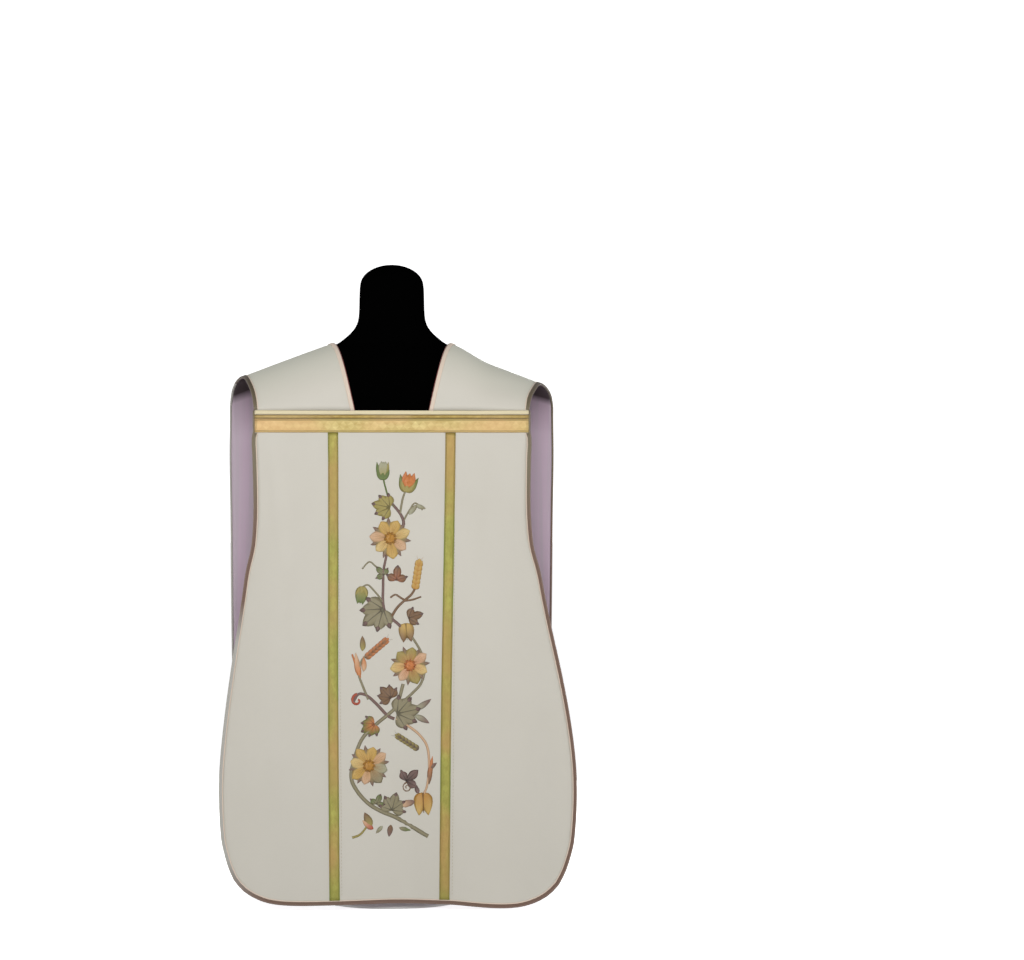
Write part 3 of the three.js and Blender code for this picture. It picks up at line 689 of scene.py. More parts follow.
def edge_braid(name, light, dark, pale=None):
    """Flat plaited braid; with a pale colour it is a brown one with a pale inner line, olive towards the
    shoulders, with painted shade at the arch tops and painted sheen down the left of the front.
    """
    made = Finish(name, Roughness=0.55, Sheen_Weight=0.1)
    uv, across, along = made.pattern()
    side = abs(across / (BRAID_WIDTH * MM) - 0.5)
    plait = ((along + side * 0.012) / PLAIT_PITCH).fraction()
    groove = abs(plait - 0.5) * 2.0
    tone = made.noise(made.stretched(uv, (60.0, 18.0, 1.0)), 1.0, 3.0)
    ribbon_light, ribbon_dark = light, dark
    if pale:
        olive, painted_sheen, brown = olive_and_painted_light(made, False)
        outer = made.blend(painted_sheen, made.blend(olive, light, brown), SHEEN_GREY)
        ribbon_light = made.blend(1.0 - across.below(INNER_LINE), outer, pale)
        ribbon_dark = made.blend(0.25, ribbon_light, dark)
    made.feed("Base Color", made.blend((groove * 0.35 + tone * 0.35).clamped(), ribbon_light, ribbon_dark))
    made.bump(groove, 0.5, 0.0003)
    return made.material


def twisted_cord(name, light, dark, has_olive_and_painted_light=True):
    """Two-colour twisted cord; the pattern is round and along in metres."""
    made = Finish(name, Roughness=0.5, Sheen_Weight=0.1)
    uv, across, along = made.pattern()
    turn = ((along - across * 0.6) / CORD_PITCH).fraction()
    groove = abs(turn - 0.5) * 2.0
    tone = made.noise(made.stretched(uv, (40.0, 9.0, 1.0)), 1.0, 3.0)
    colour = made.blend((groove * 0.6 + tone * 0.5 - 0.1).clamped(), light, dark)
    # olive towards the shoulders, painted shade at the arch tops and painted sheen greying the cord on the
    # left
    if has_olive_and_painted_light:
        olive, painted_sheen, brown = olive_and_painted_light(made, True)
        colour = made.blend(painted_sheen * 0.9, made.blend(olive * 0.8, colour, brown), SHEEN_GREY)
    made.feed("Base Color", colour)
    made.bump(groove, 0.6, 0.0005)
    return made.material


STITCH_PITCH = 0.0007


def embroidery_thread(name):
    """Satin stitch: coloured silk laid in close parallel threads."""
    made = Finish(name, Sheen_Weight=0.1, Specular_IOR_Level=0.5)
    uv, across, along = made.pattern()
    colour = made.node("ShaderNodeAttribute", {"attribute_name": "thread"})
    lie = ((along + across * 0.45) / STITCH_PITCH).fraction()
    groove = abs(lie - 0.5) * 2.0
    tone = made.noise(made.stretched(uv, (300.0, 120.0, 1.0)), 1.0, 2.0)
    shade = made.blend((groove ** 2.0) * 0.4 + tone * 0.3, (1.08, 1.06, 1.02), (0.55, 0.5, 0.44))
    made.feed("Base Color", made.blend(1.0, colour, shade, "MULTIPLY"))
    made.feed("Roughness", 0.3 + groove * 0.25)
    made.bump(1.0 - groove, 0.5, 0.0002)
    return made.material


def form_cover(name, colour):
    """Black jersey over the padded form."""
    made = Finish(name, Specular_IOR_Level=0.0)
    place_on = made.place_on()
    fuzz = made.noise(place_on, 420.0, 3.0)
    tone = made.noise(place_on, 9.0, 3.0)
    made.feed("Base Color", made.blend(tone, colour, scaled(colour, 2.2)))
    made.feed("Roughness", 0.84 + fuzz * 0.14)
    made.bump(fuzz, 0.2, 0.0004)
    return made.material


def stand_paint(name, colour):
    """Satin paint on the stand's metal, slightly uneven."""
    made = Finish(name, Specular_IOR_Level=0.4)
    place_on = made.place_on()
    peel = made.noise(place_on, 160.0, 2.0)
    wear = made.noise(place_on, 14.0, 5.0)
    made.feed("Base Color", made.blend(wear, colour, scaled(colour, 0.92)))
    made.feed("Roughness", 0.34 + wear * 0.2)
    made.bump(peel, 0.15, 0.0003)
    return made.material


# Embroidery

# Thread colours, as linear light
GOLD = (0.62, 0.41, 0.11)
DEEP_GOLD = (0.5, 0.24, 0.03)
PALE_GOLD = (0.73, 0.55, 0.23)
ORANGE = (0.62, 0.21, 0.055)
RED = (0.45, 0.075, 0.03)
DARK_RED = (0.24, 0.045, 0.035)
BROWN = (0.2, 0.11, 0.05)
RUST = (0.34, 0.13, 0.06)
MAUVE = (0.19, 0.11, 0.095)
DARK = (0.085, 0.048, 0.04)
OLIVE = (0.36, 0.3, 0.08)
GREEN = (0.12, 0.175, 0.035)
GREY = (0.28, 0.25, 0.15)
PALE = (0.4, 0.4, 0.28)
BLUSH = (0.7, 0.46, 0.29)
CREAM_GOLD = (0.88, 0.77, 0.5)
STITCH_THREAD = (0.5, 0.4, 0.22)

THREAD_RISE = 0.75              # how far satin stitch stands up, in millimetres
OUTLINE_SHADE, STEM_SHADE = 0.32, 0.35      # how much darker a petal's and a stem's edges are
STEM_FULLNESS = 1.3             # the stems' widths are listed for a single row of stitches
PETAL_WIDTHS = (0.66, 0.56, 0.62)           # shares of the flower's radius, petal after petal
PETAL_VEINS = (-0.16, 0.0, 0.16)            # their directions from the petal's own
HEART_KNOTS = 9
VEIN_DARKNESS = 0.5


def turned(along, across, angle):
    """A local offset turned so that `along` points at the angle, counted from straight up."""
    return (
        across * math.cos(angle) + along * math.sin(angle),
        along * math.cos(angle) - across * math.sin(angle),
    )


def away(at, angle, reach):
    """The place that lies some way off in a direction, counted from straight up."""
    return at[0] + math.sin(angle) * reach, at[1] + math.cos(angle) * reach


def beside(at, along, across, angle):
    """The place that lies so far along and so far across a direction."""
    right, up = turned(along, across, angle)
    return at[0] + right, at[1] + up


class Needle:
    """Lays raised stitches on the front (-1) or the back (1). Places are (right, up) as seen."""

    def __init__(self, side):
        self.side = side
        self.mesh = new_mesh()
        self.layer = 0.0

    def put(self, right, up, out):
        """Right and up are as seen from that side, in millimetres from the middle and the hem."""
        x = -right * self.side
        if self.side < 0:
            x -= SWAY["middle"] * ease(SWAY["quick"] * (FRONT_HANG["start"] - up) / FRONT_HANG["start"])
        return place(x, way_to(x, up, self.side), THREAD_IN + self.layer + out)

    def patch(self, at, angle, length, width, root, tip, bend=0.0, full=0.8, rise=1.0, rows=7):
        """One satin-stitched petal or leaf from its root towards the angle."""

        def half_width(t):
            swell = math.sin(math.pi * t ** full) ** 0.8
            return max(0.02, 0.5 * width * swell)

        def shape(u, v):
            across, t = 2 * u - 1, 0.01 + 0.98 * v
            half = half_width(t)
            lean = bend * length * t * t
            right, up = beside(at, t * length, across * half + lean, angle)
            dome = math.sqrt(max(0.0, 1 - across * across)) * min(1.0, 5 * t, 5 * (1 - t))
            spot = self.put(right, up, THREAD_RISE * rise * dome)
            return spot, ((across * half * 0.5) * MM, t * length * MM)

        def colour(u, v):
            shade = 1.0 - OUTLINE_SHADE * abs(2 * u - 1) ** 3
            return scaled(blended(root, tip, ease(v)), shade)

        mapped_grid(self.mesh, 4, rows, shape, colour)

    def stem(self, points, width, colour, taper=0.6, rise=0.7):
        """A line of stem stitch along a smooth curve through the points."""
        path = smooth_path(points)

        def shape(u, v):
            k = v * (len(path) - 1)
            i = min(int(k), len(path) - 2)
            a, b = path[i], path[i + 1]
            t = k - i
            dx, dz = b[0] - a[0], b[1] - a[1]
            size = math.hypot(dx, dz) or 1.0
            across = 2 * u - 1
            half = 0.5 * STEM_FULLNESS * width * mix(1.0, taper, v)
            right = mix(a[0], b[0], t) + dz / size * across * half
            up = mix(a[1], b[1], t) - dx / size * across * half
            dome = math.sqrt(max(0.0, 1 - across * across))
            return self.put(right, up, THREAD_RISE * rise * dome), (across * half * MM, k * 2.0 * MM)

        def tint(u, v):
            return scaled(colour, 1.0 - STEM_SHADE * abs(2 * u - 1))

        mapped_grid(self.mesh, 2, max(3, len(path) - 1), shape, tint)

    def stems(self, rows, spot=lambda *point: point, taper=0.6):
        """Several stems, each given by its colour, width and points."""
        for colour, width, points in rows:
            self.stem([spot(*point) for point in points], width, colour, taper)

    def knot(self, at, radius, colour, rise=1.5):
        """A small round knot or padded centre."""

        def shape(u, v):
            angle, reach = 2 * math.pi * u, radius * v
            right, up = turned(reach, 0.0, angle)
            dome = math.sqrt(max(0.0, 1 - v * v))
            spot = self.put(at[0] + right, at[1] + up, THREAD_RISE * rise * dome)
            return spot, (right * MM, up * MM)

        mapped_grid(self.mesh, 8, 2, shape, lambda u, v: colour)

    def raised(self, height):
        self.layer = height

    def flower(self, at, radius, petal_colours, heart, petals=7, turn=0.0):
        """An open flower: dark sepal tips behind broad petals, round a knotted heart."""
        for k in range(petals):
            angle = turn + 2 * math.pi * (k + 0.5) / petals
            self.patch(away(at, angle, radius * 0.3), angle, radius * 0.68, radius * 0.24, OLIVE, MAUVE)
        self.raised(0.35)
        for k in range(petals):
            angle = turn + 2 * math.pi * k / petals
            reach = radius * (0.98 if k % 2 else 0.88)
            start = away(at, angle, radius * 0.12)
            outer = petal_colours[k % len(petal_colours)]
            inner = blended(outer, heart, 0.45)
            width = radius * PETAL_WIDTHS[k % len(PETAL_WIDTHS)]
            self.patch(start, angle, reach * 0.88, width, inner, outer, bend=0.05 - 0.1 * (k % 2), full=1.1)
            for fan in PETAL_VEINS:
                vein = away(start, angle + fan, reach * (0.62 if fan else 0.74))
                self.stem([start, vein], radius * 0.03, scaled(heart, VEIN_DARKNESS), taper=0.3, rise=1.5)
        self.raised(0.7)
        self.knot(at, radius * 0.26, heart, rise=1.8)
        for k in range(HEART_KNOTS):
            angle = turn + 2 * math.pi * k / HEART_KNOTS
            self.knot(away(at, angle, radius * 0.24), radius * 0.075, scaled(heart, 0.7), rise=2.4)
        self.raised(0.0)

    def lobed_leaf(self, at, angle, size, root, tip, lobes=5, spread=2.5):
        """A vine leaf: lobes fanned from its stalk, with a vein down each and a dark point."""
        fans = [(k / (lobes - 1) - 0.5) * spread for k in range(lobes)]
        for fan in fans:
            reach = size * (1.0 - 0.3 * abs(fan) / (spread / 2))
            self.patch(at, angle + fan, reach, size * 0.54, root, tip, full=1.15)
        self.raised(0.45)
        vein = scaled(root, VEIN_DARKNESS)
        for fan in fans:
            reach = size * (0.8 - 0.22 * abs(fan) / (spread / 2))
            self.stem([at, away(at, angle + fan, reach)], size * 0.06, vein, taper=0.3, rise=1.3)
            point = away(at, angle + fan, reach * 0.94)
            self.patch(point, angle + fan, size * 0.25, size * 0.18, MAUVE, DARK, rows=4)
        self.raised(0.0)

    def heart_leaf(self, at, angle, size, root, tip):
        """A heart-shaped leaf of two halves with a dark vein."""
        for hand in (-1, 1):
            self.patch(at, angle + hand * 0.5, size * 0.95, size * 0.56, root, tip,
                       bend=-hand * 0.3, full=0.75)
        self.raised(0.4)
        end = away(at, angle, size * 0.85)
        self.stem([at, end], size * 0.07, scaled(root, VEIN_DARKNESS), taper=0.3, rise=1.3)
        self.raised(0.0)

    def wheat(self, foot, head, grain, beard, pairs=6, plump=0.95):
        """An ear of wheat: plump grains in pairs along its stalk, with short beards."""
        dx, dz = head[0] - foot[0], head[1] - foot[1]
        length = math.hypot(dx, dz)
        angle = math.atan2(dx, dz)
        size = length / pairs
        self.stem([foot, head], 1.2, beard)
        for k in range(pairs):
            t = k / pairs
            spot = (foot[0] + dx * t, foot[1] + dz * t)
            for hand in (-1, 1):
                self.patch(spot, angle + hand * 0.5, size * 1.7, size * plump, beard, grain,
                           bend=-hand * 0.12, full=0.9, rows=5)
        self.raised(0.3)
        tip = (head[0] - dx / pairs * 0.6, head[1] - dz / pairs * 0.6)
        self.patch(tip, angle, size * 1.6, size * plump, beard, grain, rows=5)
        self.raised(0.0)
        for k in range(pairs):
            t = (k + 1) / pairs
            spot = (foot[0] + dx * t, foot[1] + dz * t)
            for hand in (-1, 1):
                end = beside(spot, size * 1.5, hand * size * 0.75, angle)
                self.stem([spot, end], 0.7, beard, taper=0.3)

    def bud(self, at, angle, size, petal, tip, sepal, spread=0.45):
        """A round closed bud in its sepals."""
        for fan in (-spread, spread, 0.0):
            self.patch(at, angle + fan, size, size * 0.52, petal, tip, bend=-fan * 0.7, full=0.8)
        self.raised(0.4)
        for fan in (-0.85, 0.85):
            self.patch(at, angle + fan, size * 0.64, size * 0.25, sepal, sepal, bend=-0.35 * fan)
        self.patch(at, angle, size * 0.42, size * 0.34, sepal, sepal, full=0.7)
        self.raised(0.0)

    def curl(self, at, size, colour, turns=1.4, hand=1, start=0.0, width=1.3):
        """A tendril wound up on itself."""
        count = 14
        points = []
        for k in range(count + 1):
            t = k / count
            angle = start + hand * turns * 2 * math.pi * t
            points.append(away(at, angle, size * (1 - 0.8 * t)))
        self.stem(points, width, colour)

    def finished(self, name):
        material = bpy.data.materials.get("Embroidery thread") or embroidery_thread("Embroidery thread")
        slot = "front_cloth" if self.side < 0 else "back_cloth"
        return finish_piece(name, self.mesh, material, slot, thickness=0.25, offset=-1.0)


def smooth_path(points, step=3.0):
    """Points every few millimetres along a smooth curve through the given ones."""

    def between(a, b, c, d, t):
        return 0.5 * (
            2 * b + (c - a) * t + (2 * a - 5 * b + 4 * c - d) * t**2 + (3 * b - a - 3 * c + d) * t**3
        )

    path = []
    last = len(points) - 1
    for i in range(last):
        p0, p1 = points[max(i - 1, 0)], points[i]
        p2, p3 = points[i + 1], points[min(i + 2, last)]
        count = max(1, int(math.dist(p1, p2) / step))
        for k in range(count):
            path.append(tuple(between(*ends, k / count) for ends in zip(p0, p1, p2, p3)))
    return path + [tuple(points[last])]


def embroider_front(needle):
    """The vine up the front column, from its foot to the buds."""
    stems = (
        (GREY, 6.4, [(70, 131), (40, 149), (6, 169), (-18, 179), (-45, 195), (-68, 220), (-80, 248),
                     (-73, 284), (-58, 322), (-30, 350), (-9, 367), (7, 382), (15, 402), (22, 428)]),
        (MAUVE, 5.0, [(5, 360), (-9, 367), (-30, 389), (-50, 406), (-66, 408), (-76, 392)]),
        (BLUSH, 4.2, [(8, 360), (30, 347), (52, 330), (68, 306), (72, 268), (68, 230), (61, 212)]),
        (GREY, 4.2, [(12, 380), (26, 397), (42, 412), (57, 430), (63, 456), (58, 486), (44, 512),
                     (30, 530)]),
        (GREY, 3.8, [(-46, 398), (-57, 424), (-65, 448), (-60, 472), (-50, 484)]),
        (ORANGE, 3.4, [(-62, 440), (-70, 462), (-78, 486)]),
        (MAUVE, 4.6, [(20, 536), (12, 545), (-10, 564), (-17, 584), (-17, 620), (-16, 650), (-10, 680)]),
        (BROWN, 4.2, [(0, 560), (10, 576), (24, 590), (38, 602), (45, 614)]),
        (BROWN, 3.2, [(24, 590), (40, 592), (57, 598)]),
        (BROWN, 3.4, [(26, 591), (17, 596), (7, 602), (-3, 596)]),
        (GREY, 3.2, [(-17, 588), (-34, 609), (-47, 621), (-57, 617)]),
        (GREY, 2.8, [(-16, 648), (-30, 656), (-44, 666), (-58, 652)]),
        (MAUVE, 5.0, [(16, 716), (23, 742), (17, 759), (7, 772), (0, 780)]),
        (GREY, 3.6, [(16, 760), (21, 788), (27, 806)]),
        (GREEN, 3.0, [(4, 774), (-8, 796), (-17, 830)]),
        (GREY, 2.8, [(24, 748), (34, 766), (46, 781), (60, 767)]),
        (OLIVE, 3.8, [(-78, 130), (-62, 136), (-50, 150)]),
    )
    needle.stems(stems, taper=0.8)
    needle.bud((-18, 826), 0.05, 36, OLIVE, PALE, GREEN, spread=0.36)
    needle.patch((-18, 826), -0.6, 36, 10, GREEN, GREEN, bend=0.3)
    needle.patch((-18, 826), 0.6, 36, 10, GREEN, OLIVE, bend=-0.3)
    for fan in (-0.95, 0.95):
        needle.patch((28, 802), 0.2 + fan, 34, 14, OLIVE, GREEN, bend=-fan * 0.5)
    needle.bud((28, 802), 0.2, 38, RED, ORANGE, OLIVE, spread=0.62)
    needle.raised(0.5)
    needle.knot((33, 822), 13, ORANGE, rise=1.2)
    needle.raised(0.0)
    needle.lobed_leaf((-4, 772), -1.35, 37, OLIVE, OLIVE)
    needle.patch((34, 758), 0.5, 26, 11, PALE, GREY, bend=0.2)
    needle.patch((48, 778), 2.2, 20, 9, PALE, GREY, bend=-0.2)
    needle.flower((-3, 712), 42, (GOLD, PALE_GOLD, BLUSH), DEEP_GOLD, turn=0.35)
    needle.lobed_leaf((-16, 640), -0.7, 22, GREY, GREEN, lobes=3)
    needle.lobed_leaf((9, 630), 0.1, 30, RUST, BROWN, lobes=3, spread=2.3)
    needle.wheat((45, 612), (53, 664), GOLD, DEEP_GOLD, plump=1.25)
    needle.bud((-57, 618), 3.3, 34, OLIVE, GREEN, OLIVE)
    needle.lobed_leaf((-17, 574), -2.25, 52, GREY, GREY)
    needle.lobed_leaf((32, 556), 1.25, 31, BROWN, BROWN, lobes=3, spread=1.7)
    needle.heart_leaf((27, 546), 3.05, 38, GOLD, BROWN)
    needle.wheat((-52, 478), (-12, 512), ORANGE, BROWN)
    needle.patch((-62, 440), -0.3, 50, 13, ORANGE, BLUSH, bend=0.12)
    needle.patch((-56, 452), 0.2, 30, 11, BLUSH, ORANGE, bend=-0.2)
    needle.patch((-58, 492), 0.15, 30, 12, OLIVE, BROWN, bend=-0.15)
    needle.flower((35, 464), 40, (OLIVE, BLUSH, PALE_GOLD), ORANGE, turn=0.1)
    needle.lobed_leaf((-2, 400), -0.75, 31, BROWN, BROWN)
    needle.curl((-68, 396), 12, RED, turns=0.9, hand=-1, width=5.0)
    needle.lobed_leaf((10, 370), 1.35, 48, GREY, GREY)
    needle.patch((44, 378), 1.15, 38, 12, PALE, MAUVE, bend=-0.15)
    needle.patch((44, 366), 1.9, 32, 12, PALE, MAUVE, bend=0.15)
    needle.lobed_leaf((-34, 350), -2.1, 31, ORANGE, GREEN)
    needle.wheat((52, 300), (12, 326), OLIVE, DARK)
    petals = (GOLD, BLUSH, PALE, GREY, BLUSH, GOLD, PALE_GOLD, GOLD)
    needle.flower((-45, 269), 42, petals, DEEP_GOLD, petals=8, turn=0.2)
    needle.patch((72, 232), 0.02, 56, 10, BROWN, ORANGE, bend=0.1)
    needle.patch((70, 260), 0.75, 22, 9, BROWN, MAUVE, bend=0.1)
    needle.lobed_leaf((28, 238), 0.8, 32, DARK, MAUVE, lobes=3)
    needle.curl((30, 226), 10, BROWN, hand=-1, width=2.6)
    needle.heart_leaf((60, 216), 3.1, 46, DEEP_GOLD, GOLD)
    needle.patch((52, 214), -0.4, 18, 9, MAUVE, DARK)
    needle.lobed_leaf((0, 182), 0.25, 36, GREY, GREY, spread=2.9)
    needle.patch((18, 190), 1.15, 30, 15, BLUSH, MAUVE, bend=0.1)
    needle.lobed_leaf((-30, 194), 0.4, 22, GREY, GREEN, lobes=3)
    needle.patch((-40, 150), -0.45, 32, 16, OLIVE, BROWN)
    needle.patch((-36, 146), -1.05, 28, 12, RED, BLUSH, bend=0.15)
    needle.patch((-2, 154), 3.3, 24, 11, BROWN, MAUVE)
    needle.patch((14, 148), 1.9, 24, 9, GREY, GREEN, bend=-0.1)
    needle.patch((-18, 152), -2.4, 20, 8, PALE, GREY)


def top_spray(needle, at):
    """A cut spray with a flower, leaves, buds and wheat, as set at the top of the cross."""

    def spot(right, up):
        return (at[0] + right, at[1] + up)

    stems = (
        (MAUVE, 4.8, [(-52, -46), (-20, -30), (12, -18), (40, 8), (48, 34)]),
        (GREY, 4.6, [(-40, -58), (-26, -28), (-22, 8), (-6, 26), (8, 40)]),
        (BROWN, 3.6, [(12, -18), (34, -34), (54, -48)]),
        (GOLD, 3.4, [(-22, 4), (-42, 16), (-58, 30)]),
    )
    needle.stems(stems, spot)
    needle.flower(spot(8, 42), 38, (PALE_GOLD, OLIVE, GOLD), ORANGE, turn=0.2)
    needle.wheat(spot(-34, 4), spot(-62, 46), GOLD, ORANGE)
    needle.lobed_leaf(spot(40, 10), 0.9, 32, GREY, OLIVE)
    needle.lobed_leaf(spot(18, -14), 2.4, 30, RED, BROWN, lobes=3)
    needle.lobed_leaf(spot(-22, -20), -1.3, 34, OLIVE, GREY)
    needle.lobed_leaf(spot(46, -38), 2.0, 30, OLIVE, GREEN)
    needle.heart_leaf(spot(-2, -2), -0.4, 26, ORANGE, BROWN)
    needle.bud(spot(50, 32), 0.5, 28, RED, ORANGE, GREEN)
    needle.bud(spot(-48, -44), -1.9, 26, ORANGE, GOLD, OLIVE)
    needle.curl(spot(-4, -46), 11, BROWN, width=2.6)
    needle.curl(spot(26, 2), 8, OLIVE, hand=-1, width=2.2)


def arm_spray(needle, at, hand):
    """A spray set square in an arm of the cross: hand 1 for the right arm, -1 for the left."""

    def spot(right, up):
        return (at[0] + right * hand, at[1] + up)

    stems = (
        (MAUVE, 4.2, [(-24, -52), (-8, -20), (8, 6), (22, 24)]),
        (GREY, 4.0, [(-24, -52), (-26, -18), (-36, 4), (-46, 20)]),
        (BROWN, 3.4, [(-24, -52), (4, -34), (30, -26), (50, -18)]),
        (OLIVE, 3.2, [(-8, -20), (24, -2), (46, 8), (64, 18)]),
        (ORANGE, 3.0, [(-24, -52), (0, -58), (22, -54)]),
    )
    needle.stems(stems, spot)
    needle.flower(spot(-47, 36), 34, (PALE_GOLD, OLIVE, GOLD), ORANGE, turn=hand * 0.2)
    needle.wheat(spot(22, 22), spot(62, 55), GOLD, ORANGE, plump=1.1)
    needle.lobed_leaf(spot(62, 16), hand * 1.2, 28, OLIVE, GREEN)
    needle.lobed_leaf(spot(44, -16), hand * 1.9, 30, GREEN, OLIVE)
    needle.lobed_leaf(spot(4, -40), hand * 2.6, 27, RED, BROWN, lobes=3)
    needle.heart_leaf(spot(40, -48), hand * 1.8, 28, ORANGE, GOLD)
    needle.lobed_leaf(spot(-36, -50), hand * -2.0, 30, GREY, OLIVE)
    needle.bud(spot(6, 8), hand * -0.2, 27, RED, ORANGE, GREEN)


def embroider_back(needle):
    """The sprays in the cross's arms and the vine down its stem."""
    top_spray(needle, (-1, 900))
    arm_spray(needle, (172, 700), 1)
    arm_spray(needle, (-176, 700), -1)
    stems = (
        (MAUVE, 4.8, [(-62, 96), (-24, 108), (16, 128), (50, 160), (58, 204), (36, 240), (-2, 262),
                      (-44, 284), (-66, 324), (-60, 368), (-28, 400), (8, 420)]),
        (GREY, 4.8, [(50, 100), (14, 116), (-30, 140), (-62, 176), (-68, 222), (-36, 258), (6, 284),
                     (44, 312), (62, 352), (50, 402), (18, 440), (-14, 476), (-24, 520), (-14, 556)]),
        (BROWN, 4.0, [(8, 420), (44, 452), (48, 500), (30, 540), (10, 566)]),
        (ORANGE, 3.2, [(-66, 324), (-76, 356), (-64, 388), (-70, 412)]),
        (BLUSH, 3.2, [(62, 352), (72, 384), (60, 410)]),
        (GREEN, 3.2, [(-24, 510), (-46, 530), (-54, 552)]),
    )
    needle.stems(stems, taper=0.8)
    needle.flower((-8, 586), 40, (PALE_GOLD, OLIVE, GOLD), ORANGE)
    needle.lobed_leaf((-18, 522), -1.4, 38, GREY, OLIVE)
    needle.lobed_leaf((30, 520), 1.2, 32, RED, BROWN, lobes=3)
    needle.wheat((46, 494), (58, 552), PALE_GOLD, GOLD)
    needle.bud((-54, 546), -0.6, 30, OLIVE, PALE_GOLD, GREEN)
    needle.lobed_leaf((-4, 466), -2.3, 36, OLIVE, GREEN)
    needle.heart_leaf((28, 462), 0.8, 32, ORANGE, BROWN)
    needle.wheat((-38, 400), (-60, 452), ORANGE, GOLD)
    needle.flower((22, 366), 41, (GOLD, PALE_GOLD, BLUSH), RED, turn=0.2)
    needle.lobed_leaf((-32, 398), -1.0, 32, BROWN, RED, lobes=3)
    needle.lobed_leaf((-28, 322), -2.2, 38, OLIVE, GREY)
    needle.lobed_leaf((40, 308), 1.9, 36, ORANGE, OLIVE)
    needle.wheat((2, 296), (34, 246), GOLD, OLIVE)
    needle.curl((58, 262), 10, OLIVE, width=2.4)
    needle.flower((-46, 196), 41, (GOLD, PALE_GOLD, BLUSH), DEEP_GOLD, petals=8, turn=0.1)
    needle.lobed_leaf((22, 196), 0.8, 34, DARK, BROWN, lobes=3)
    needle.heart_leaf((50, 160), 2.4, 34, GOLD, BROWN)
    needle.lobed_leaf((2, 146), 3.0, 38, GREY, PALE)
    needle.patch((-34, 112), -2.0, 32, 13, RED, BROWN, bend=0.2)
    needle.patch((30, 112), 1.7, 28, 12, GREY, OLIVE, bend=-0.1)
    needle.curl((64, 122), 9, BROWN, width=2.4)
    needle.curl((-72, 252), 9, OLIVE, hand=-1, width=2.4)
    needle.patch((-56, 300), -2.4, 26, 12, BLUSH, BROWN)
    needle.patch((60, 214), 1.0, 24, 11, OLIVE, GREY)


def embroider_centre(needle):
    """A plain ornament at the crossing: a fleury cross over four pairs of scrolls."""
    middle = (4, 714)
    for quarter in range(4):
        angle = quarter * math.pi / 2
        reach = 96 if quarter % 2 == 0 else 80

        def spot(right, up, base=angle):
            return beside(middle, up, right, base)

        for hand in (-1, 1):
            scroll = [spot(hand * 8, 20), spot(hand * 22, 42), spot(hand * 46, 50), spot(hand * 60, 34),
                      spot(hand * 50, 20), spot(hand * 38, 28), spot(hand * 44, 36)]
            needle.stem(scroll, 7.0, DEEP_GOLD, taper=0.5, rise=1.6)
            needle.raised(0.5)
            needle.patch(spot(hand * 2, reach * 0.62), angle + hand * 0.95, 26, 9, ORANGE, GOLD,
                         bend=-hand * 0.35, rise=1.8)
            needle.raised(0.0)
        needle.raised(0.6)
        needle.patch(spot(0, 8), angle, reach * 0.66, 11, ORANGE, GOLD, full=1.0, rise=2.0)
        needle.patch(spot(0, reach * 0.6), angle, 32, 15, GOLD, PALE_GOLD, rise=2.2)
        needle.raised(0.0)
    ring = [away(middle, k * math.pi / 12, 30) for k in range(25)]
    needle.stem(ring, 6.0, ORANGE, taper=1.0, rise=1.7)
    needle.raised(1.0)
    needle.knot(middle, 9, ORANGE, rise=2.4)
    for k in range(8):
        angle = k * math.pi / 4 + math.pi / 8
        needle.knot(away(middle, angle, 15), 2.6, PALE_GOLD, rise=2.4)
    needle.raised(0.0)


# Trim

def column_half(z):
    return mix(COLUMN_BOTTOM, COLUMN_TOP, clamp(z / BAND_LOW))


def measured(path):
    """Adds to each point of a path how far along the path it is."""
    run = [0.0]
    for a, b in zip(path, path[1:]):
        run.append(run[-1] + math.dist(a[:2], b[:2]))
    return [(*row, far) for row, far in zip(path, run)]


def part_way(path, v):
    """The values of a path at a share of its points."""
    k = v * (len(path) - 1)
    i = min(int(k), len(path) - 2)
    return blended(path[i], path[i + 1], k - i)


def ribbon(mesh, path, half_width, out, crown=0.3, columns=6):
    """A flat woven strip along a path of pattern points, slightly crowned.

    path holds (x, s, side_x, side_s): a pattern point and its sideways direction.
    """
    rows = measured(path)

    def shape(u, v):
        x, s, side_x, side_s, far = part_way(rows, v)
        across = (2 * u - 1) * half_width
        lift = out + crown * (1 - (2 * u - 1) ** 4)
        spot = place(x + side_x * across, s + side_s * across, lift)
        return spot, (u * 2 * half_width * MM, far * MM)

    faces = mapped_grid(mesh, columns, len(path) - 1, shape)[1]
    x, s = path[0][:2]
    turn_outwards(mesh, faces, place(x, s, 1.0) - place(x, s, 0.0))


# Beside the armholes the braid of the front hangs over the cloth's edge
OVERHANG = {"reach": 5.5, "low": 660, "high": 760, "band": 918, "at_band": 0.4}


def overhung(path):
    """Moves the edge braid's path outwards beside the armholes."""
    moved = []
    for x, s, *side in path:
        height = surface(x, s).z
        reach = OVERHANG["reach"] * ease((height - OVERHANG["low"]) / (OVERHANG["high"] - OVERHANG["low"]))
        reach *= mix(1.0, OVERHANG["at_band"], ease((height - OVERHANG["band"]) / HEM_HEIGHT))
        moved.append((x + math.copysign(reach, x), s, *side))
    return moved


def measure(x, s, step=1.0):
    """How the pattern's two directions lie on the hanging cloth: their lengths squared and product."""
    across = (surface(x + step, s) - surface(x - step, s)) / (2 * step)
    along = (surface(x, s + step) - surface(x, s - step)) / (2 * step)
    return across.dot(across), across.dot(along), along.dot(along)


